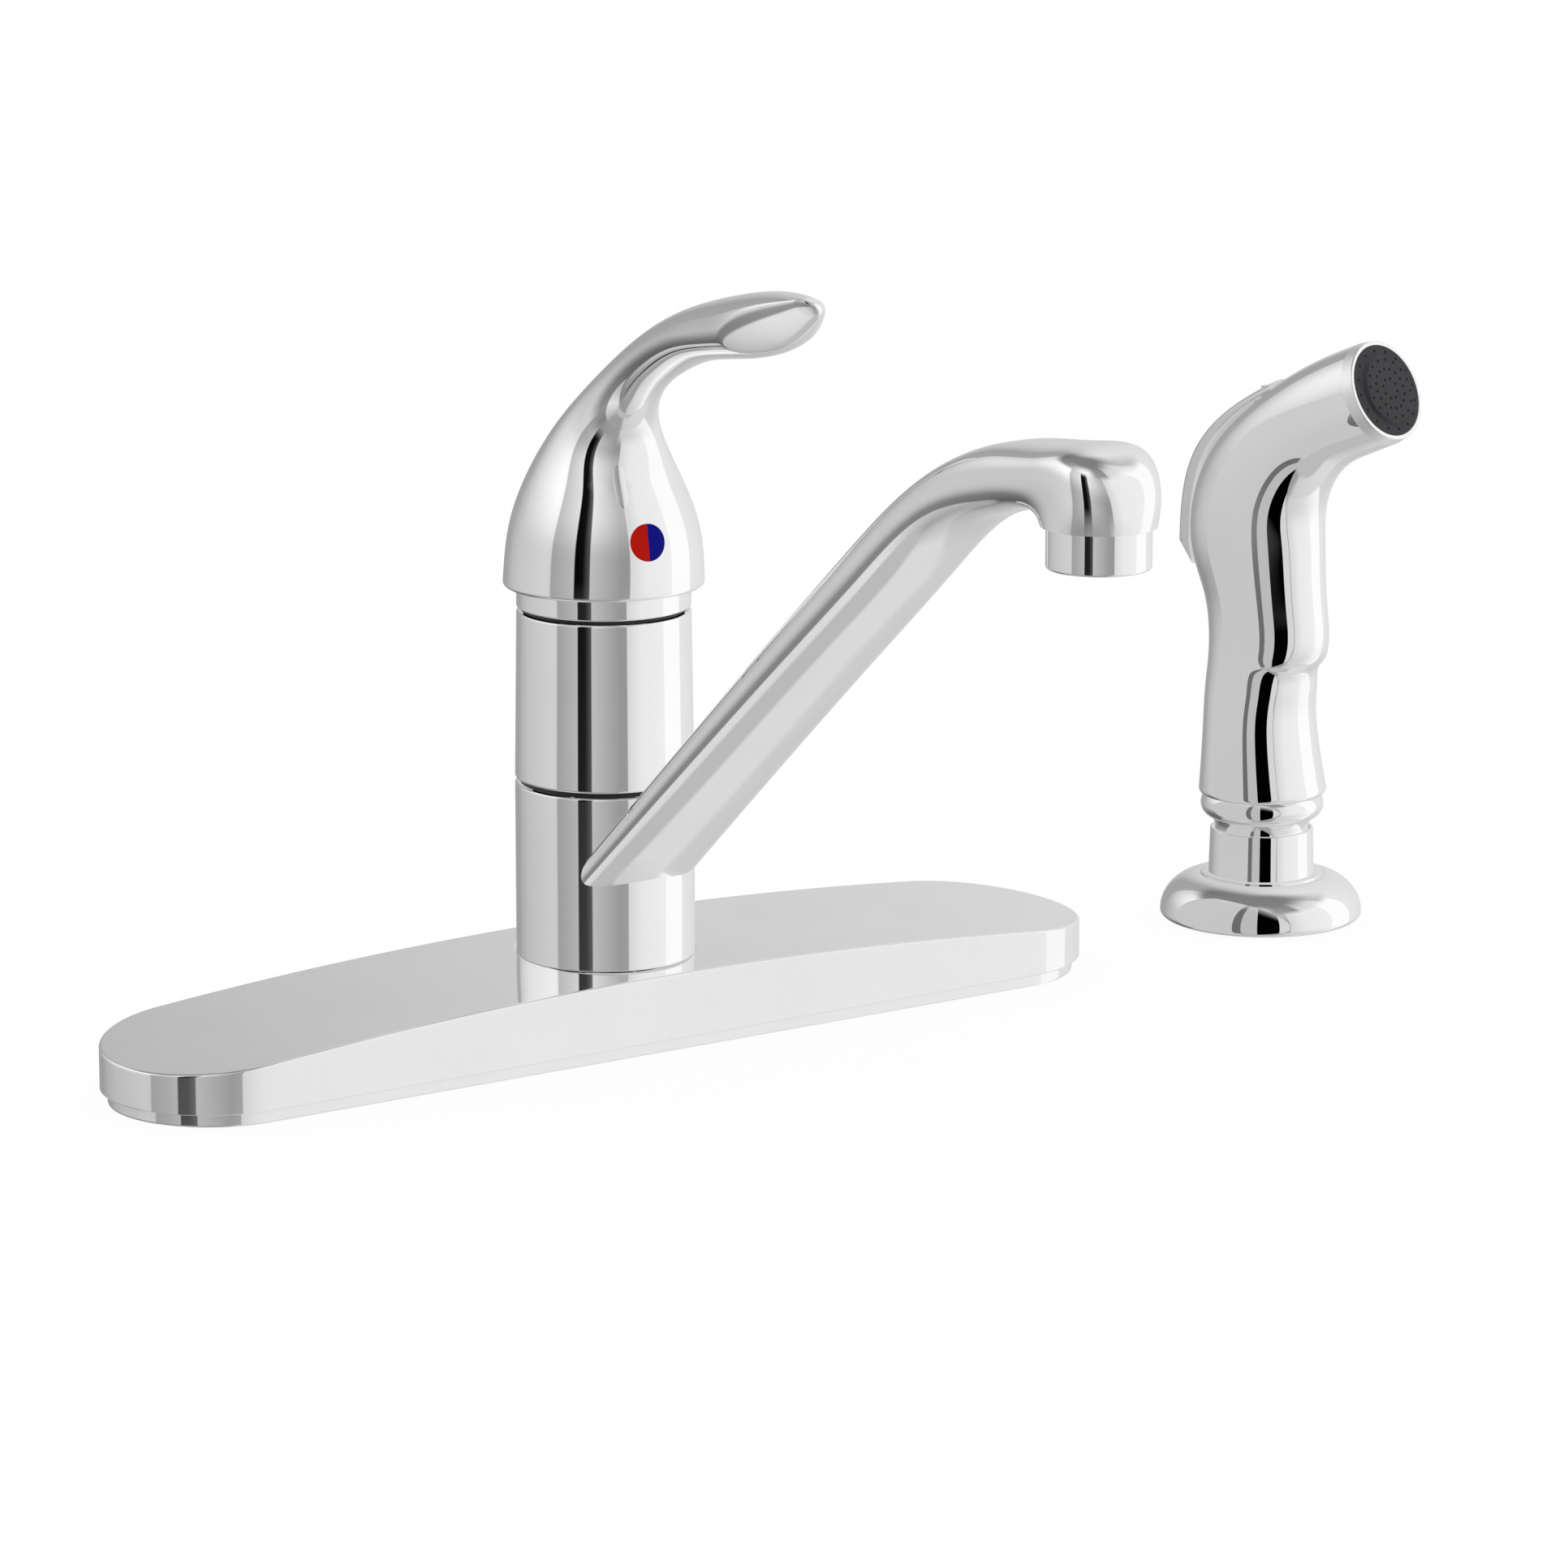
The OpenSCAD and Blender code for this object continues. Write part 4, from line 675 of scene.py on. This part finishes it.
upperRows = smoothRows(paddle["rows"], paddle["rings"])[:paddle["kept"]]
foot = np.array(paddle["foot"])
steps = np.linspace(0, 1, paddle["footRings"], endpoint=False)
paddleRows = [*(foot + (upperRows[0] - foot) * t for t in steps), *upperRows]
triggerPaddle = newPiece("triggerPaddle", *skin([
    paddleRing(r, paddle["half"], r[3], r[3] - r[5], paddle["edge"]) for r in paddleRows]))
dress(triggerPaddle, "trigger", "chrome_plastic", shadedTriggerChrome, "trigger")
cutRows = [paddleRows[0] - np.array([0, paddle["cutDrop"], 0, 0, 0, 0]), *paddleRows][::paddle["cutEach"]]
cutFrom(wandShell, newPiece("cutter", *skin([
    paddleRing(r, paddle["half"] + paddle["gap"], r[3] + paddle["cutLift"], r[3] - paddle["cutDepth"])
    for r in cutRows])))
dress(wandShell, "wand", "chrome_plastic", chrome, "wand_shell")

# nozzle: a bright ring round a rubber face with rings of jets
nozzle = {"base": 13.4, "front": 12.9, "inner": 11.9, "length": 3.1, "seat": 0.6, "bore": 9.9, "neck": 10.8,
          "neckLength": 5, "edge": 0.35, "innerEdge": 0.2, "faceEdge": 0.15, "padFoot": 0.1,
          "pad": 8.7, "padHeight": 4.4, "padEdge": 0.35, "jet": 0.45, "jetDepth": 5.0, "jetSides": 16,
          "rings": [10.3, 7.6, 5.2, 2.6], "counts": [16, 16, 16, 8]}
inner, length, seat, pad = (nozzle[key] for key in ("inner", "length", "seat", "pad"))
nozzleRim = newPiece("nozzleRim", *turned(softened([
    (nozzle["bore"], -nozzle["neckLength"], 0), (nozzle["neck"], -nozzle["neckLength"], 0),
    (nozzle["neck"], 0, 0), (nozzle["base"], 0, 0), (nozzle["front"], length, nozzle["edge"]),
    (inner, length, nozzle["innerEdge"]), (inner, seat, 0), (nozzle["bore"], seat, 0)]), nozzlePlace))
dress(nozzleRim, "wand", "chrome_plastic", rimChrome, "nozzle_rim")
sprayFace = newPiece("sprayFace", *turned(softened([
    (0.0, seat, 0), (inner, seat, 0), (inner, length, nozzle["faceEdge"]), (pad, length, nozzle["padFoot"]),
    (pad, nozzle["padHeight"], nozzle["padEdge"]), (0.0, nozzle["padHeight"], 0)])))


def jetTree():  # rings of small holes cut through a face
    tree = bpy.data.node_groups.new("sprayJets", "GeometryNodeTree")
    ringCount = len(nozzle["rings"])
    kinds = {"Geometry": "Geometry", "Jet Radius": "Float", "Jet Depth": "Float", "Face Height": "Float"}
    for i in range(ringCount):
        kinds[f"Ring Radius {i + 1}"], kinds[f"Ring Count {i + 1}"] = "Float", "Int"
    kinds["Material"] = "Material"
    for label, kind in kinds.items():
        tree.interface.new_socket(label, in_out="INPUT", socket_type="NodeSocket" + kind)
    tree.interface.new_socket("Geometry", in_out="OUTPUT", socket_type="NodeSocketGeometry")
    nodes, link = tree.nodes, tree.links.new
    source, target = nodes.new("NodeGroupInput"), nodes.new("NodeGroupOutput")
    drill = nodes.new("GeometryNodeMeshCylinder")
    drill.inputs["Vertices"].default_value = nozzle["jetSides"]
    link(source.outputs["Jet Radius"], drill.inputs["Radius"])
    link(source.outputs["Jet Depth"], drill.inputs["Depth"])
    gather = nodes.new("GeometryNodeJoinGeometry")
    for i in range(ringCount):
        circle = nodes.new("GeometryNodeMeshCircle")
        link(source.outputs[f"Ring Radius {i + 1}"], circle.inputs["Radius"])
        link(source.outputs[f"Ring Count {i + 1}"], circle.inputs["Vertices"])
        lift = nodes.new("GeometryNodeTransform")
        up = nodes.new("ShaderNodeCombineXYZ")
        link(source.outputs["Face Height"], up.inputs["Z"])
        link(up.outputs[0], lift.inputs["Translation"])
        lift.inputs["Rotation"].default_value = (0, 0, math.pi * i / nozzle["counts"][i])
        link(circle.outputs["Mesh"], lift.inputs["Geometry"])
        link(lift.outputs["Geometry"], gather.inputs["Geometry"])
    dots = nodes.new("GeometryNodeInstanceOnPoints")
    link(gather.outputs["Geometry"], dots.inputs["Points"])
    link(drill.outputs["Mesh"], dots.inputs["Instance"])
    solid = nodes.new("GeometryNodeRealizeInstances")
    link(dots.outputs["Instances"], solid.inputs["Geometry"])
    cut = nodes.new("GeometryNodeMeshBoolean")
    cut.operation, cut.solver = "DIFFERENCE", "EXACT"
    link(source.outputs["Geometry"], cut.inputs["Mesh 1"])
    link(solid.outputs["Geometry"], cut.inputs["Mesh 2"])
    last = nodes.new("GeometryNodeRealizeInstances")
    link(cut.outputs["Mesh"], last.inputs["Geometry"])
    paint = nodes.new("GeometryNodeSetMaterial")
    link(last.outputs["Geometry"], paint.inputs["Geometry"])
    link(source.outputs["Material"], paint.inputs["Material"])
    link(paint.outputs["Geometry"], target.inputs["Geometry"])
    return tree


jets = sprayFace.modifiers.new("jets", "NODES")
jets.node_group = jetTree()
inputs = {s.name: s.identifier for s in jets.node_group.interface.items_tree if s.in_out == "INPUT"}
for i, (radius, count) in enumerate(zip(nozzle["rings"], nozzle["counts"])):
    jets[inputs[f"Ring Radius {i + 1}"]] = radius * mm
    jets[inputs[f"Ring Count {i + 1}"]] = count
for label, key in (("Jet Radius", "jet"), ("Jet Depth", "jetDepth"), ("Face Height", "padHeight")):
    jets[inputs[label]] = nozzle[key] * mm
jets[inputs["Material"]] = faceRubber
mesh = plainMesh(sprayFace)
mesh.transform(Matrix.Translation(nozzlePlace.translation * mm) @ nozzlePlace.to_3x3().to_4x4())
shadeSmooth(mesh, 30)
dress(sprayFace, "wand", "grey_rubber", faceRubber, "spray_face")
print("hand spray made")

mirrored = ("spoutHub", "bodySleeve", "collarRing", "leverHandle")
for piece in [o for o in bpy.data.objects if o.type == "MESH"]:  # only these show in the chrome beside them
    piece.visible_glossy = piece.name in mirrored

# studio: pale floor, plain soft light from all round, and darker panels that the chrome reflects
# greys round the room by direction: 0 is straight ahead of the faucet, + turns towards the hand spray
studio = {
    "wall": [(-180, 166), (-165, 186), (-150, 198), (-105, 212), (-97.2, 208), (-97, 160), (-75, 180),
             (-68.2, 186), (-68, 5), (-58, 12), (-50, 80), (-49.6, 192), (-30, 172), (-14, 152), (-3.2, 148),
             (-3, 216), (16, 236), (50.8, 241), (51, 255), (83.8, 255), (84, 234), (120, 226), (136, 222),
             (148, 200), (160, 162), (180, 166)],
    "ceiling": [(-180, 118), (-135, 140), (-105, 168), (-75, 230), (-60, 250), (-42, 250), (-15, 155),
                (18, 145), (24, 215), (66, 226), (74, 190), (120, 230), (140, 215), (165, 128), (180, 118)],
    "lowWall": [(-180, 92), (-165, 104), (-140, 126), (-120, 134), (-106, 148), (-78, 132), (-60, 152),
                (-14, 158), (-6, 205), (30, 218), (62, 242), (80, 250), (84, 214), (122, 206), (136, 196),
                (150, 178), (164, 142), (180, 92)],
    "ground": [(-180, 166), (-135, 196), (-112, 228), (-88, 206), (-60, 160), (-14, 158), (0, 205), (45, 214),
               (75, 218), (126, 219), (137, 202), (150, 190), (165, 172), (180, 166)],
    "above": 128, "below": 188, "fill": 0.95,
    # degrees over the horizon between which a shade turns into the next one up, and under it, the next one down
    "ceilingBand": (39, 52), "aboveBand": (52, 76), "lowWallBand": (8, 36), "groundBand": (46, 50),
    "belowBand": (69, 75),
    "lift": 0.6, "liftBand": (0, 34), "liftEdge": -3,  # the wall away from the hand spray is lighter higher up
}
world = bpy.data.worlds.new("studio")
bpy.context.scene.world = world
world.use_nodes = True
room = Graph(world.node_tree)
direction = room.node("ShaderNodeTexCoord", output="Generated")
dx, dy, dz = (room.node("ShaderNodeSeparateXYZ", None, {"Vector": direction}, axis) for axis in "XYZ")
azimuth = dx.math("ARCTAN2", dx, dy * -1.0) * (1 / (2 * math.pi)) + 0.5
rising = dz.math("ARCSINE", dz) * (180 / math.pi)
sinking = rising * -1.0


def roomShade(which):
    stops = [(0.5 + degrees / 360, linear(grey)) for degrees, grey in studio[which]]
    return room.node("ShaderNodeValToRGB", {"stops": stops}, {0: azimuth})


def plainShade(grey):
    return tone(grey, grey, grey)


upper = room.blend(room.smooth(rising, *studio["aboveBand"]), roomShade("ceiling"), plainShade(studio["above"]))
lifted = room.smooth(rising, *studio["liftBand"]) * (azimuth < 0.5 + studio["liftEdge"] / 360)
wall = room.node("ShaderNodeVectorMath", {"operation": "SCALE"},
                 {0: roomShade("wall"), 3: lifted * studio["lift"] + 1.0})
upper = room.blend(room.smooth(rising, *studio["ceilingBand"]), wall, upper)
lower = room.blend(room.smooth(sinking, *studio["belowBand"]), roomShade("ground"), plainShade(studio["below"]))
lower = room.blend(room.smooth(sinking, *studio["groundBand"]), roomShade("lowWall"), lower)
around = room.blend(room.smooth(sinking, *studio["lowWallBand"]), upper, lower)
seen, glossy = (room.node("ShaderNodeLightPath", output=name) for name in ("Is Camera Ray", "Is Glossy Ray"))
plain = room.node("ShaderNodeBackground", None, {"Color": (1, 1, 1, 1), "Strength": studio["fill"]})
shown = room.node("ShaderNodeBackground", None, {"Color": around, "Strength": 1.0})
white = room.node("ShaderNodeBackground", None, {"Color": (1, 1, 1, 1), "Strength": 1.0})
lit = room.node("ShaderNodeMixShader", None, {0: glossy, 1: plain, 2: shown})
room.node("ShaderNodeOutputWorld", None, {
    "Surface": room.node("ShaderNodeMixShader", None, {0: seen, 1: lit, 2: white})})


def oneSided(graph, shader):  # clear from behind
    behind = graph.node("ShaderNodeNewGeometry", output="Backfacing")
    clear = graph.node("ShaderNodeBsdfTransparent")
    finish(graph, graph.node("ShaderNodeMixShader", None, {0: behind, 1: shader, 2: clear}))


floorLook = {"half": 3000, "height": -0.3, "shade": (0.95, 0.95, 0.95, 1), "matt": 0.05}
s, z = floorLook["half"], floorLook["height"]
floor = newPiece("floor", [(-s, -s, z), (s, -s, z), (s, s, z), (-s, s, z)], [(0, 1, 2, 3)])
floorPaint, g = newMaterial("paleFloor")
glow = g.node("ShaderNodeEmission", None, {"Color": (1, 1, 1, 1), "Strength": 1.0})
matt = g.node("ShaderNodeBsdfDiffuse", None, {"Color": floorLook["shade"]})
oneSided(g, g.node("ShaderNodeMixShader", None, {0: floorLook["matt"], 1: glow, 2: matt}))
floor.data.materials.append(floorPaint)
floor.visible_glossy = False
floor.visible_diffuse = False

# upright cards beside the hand spray, seen in its chrome alone: near and far end, low edge, low and high grey
cards = {
    "clearCard": (-700, -190, -100, 214, 214), "darkCard": (-190, -69, -100, 1, 150),
    "greyCard": (-69, -40, -100, 188, 200), "thinCard": (-40, -29, -30, 108, 180),
    "paleCard": (-29, 60, -100, 199, 206),
}
cardStand = {"x": 142, "top": 150, "fadeLow": 70, "fadeHigh": 140}
x, top = cardStand["x"], cardStand["top"]
for name, (near, far, low, lowGrey, highGrey) in cards.items():
    card = newPiece(name, [(x, near, low), (x, far, low), (x, far, top), (x, near, top)], [(0, 1, 2, 3)])
    cloth, g = newMaterial(name + "Cloth")
    place = g.node("ShaderNodeTexCoord", output="Object")
    z = g.node("ShaderNodeSeparateXYZ", None, {"Vector": place}, "Z")
    faded = g.smooth(z, cardStand["fadeLow"] * mm, cardStand["fadeHigh"] * mm)
    shade = g.blend(faded, plainShade(lowGrey), plainShade(highGrey))
    oneSided(g, g.node("ShaderNodeEmission", None, {"Color": shade, "Strength": 1.0}))
    card.data.materials.append(cloth)
    card.visible_camera = card.visible_diffuse = card.visible_shadow = card.visible_transmission = False

softKey = {"size": 1.2, "power": 3.0, "place": (-0.8, -1.2, 1.6), "from": (-0.8, -1.2, 1.5)}
key = bpy.data.lights.new("softKey", "AREA")
key.shape, key.size, key.energy = "DISK", softKey["size"], softKey["power"]
keyLight = bpy.data.objects.new("softKey", key)
facing = Vector(softKey["from"]).to_track_quat("Z", "Y").to_matrix().to_4x4()
keyLight.matrix_world = Matrix.Translation(softKey["place"]) @ facing
keyLight.visible_glossy = False
bpy.context.scene.collection.objects.link(keyLight)
print("studio made")

# camera at the photograph's viewing angle
view = {"place": (-0.9615, -1.4578, 0.4638), "yaw": 34.83, "pitch": 12.973, "lens": 169.94, "sensor": 36.0,
        "clip": (0.05, 30)}
camera = bpy.data.cameras.new("camera")
camera.lens, camera.sensor_width, camera.sensor_fit = view["lens"], view["sensor"], "AUTO"
camera.clip_start, camera.clip_end = view["clip"]
yaw, pitch = math.radians(view["yaw"]), math.radians(view["pitch"])
ahead = Vector((math.sin(yaw) * math.cos(pitch), math.cos(yaw) * math.cos(pitch), -math.sin(pitch)))
across = Vector((math.cos(yaw), -math.sin(yaw), 0))
upward = across.cross(ahead)
cameraObject = bpy.data.objects.new("camera", camera)
cameraObject.matrix_world = Matrix((
    (across.x, upward.x, -ahead.x, view["place"][0]), (across.y, upward.y, -ahead.y, view["place"][1]),
    (across.z, upward.z, -ahead.z, view["place"][2]), (0, 0, 0, 1)))
bpy.context.scene.collection.objects.link(cameraObject)
bpy.context.scene.camera = cameraObject
bpy.context.scene.view_settings.view_transform = "Standard"

bpy.context.view_layer.update()
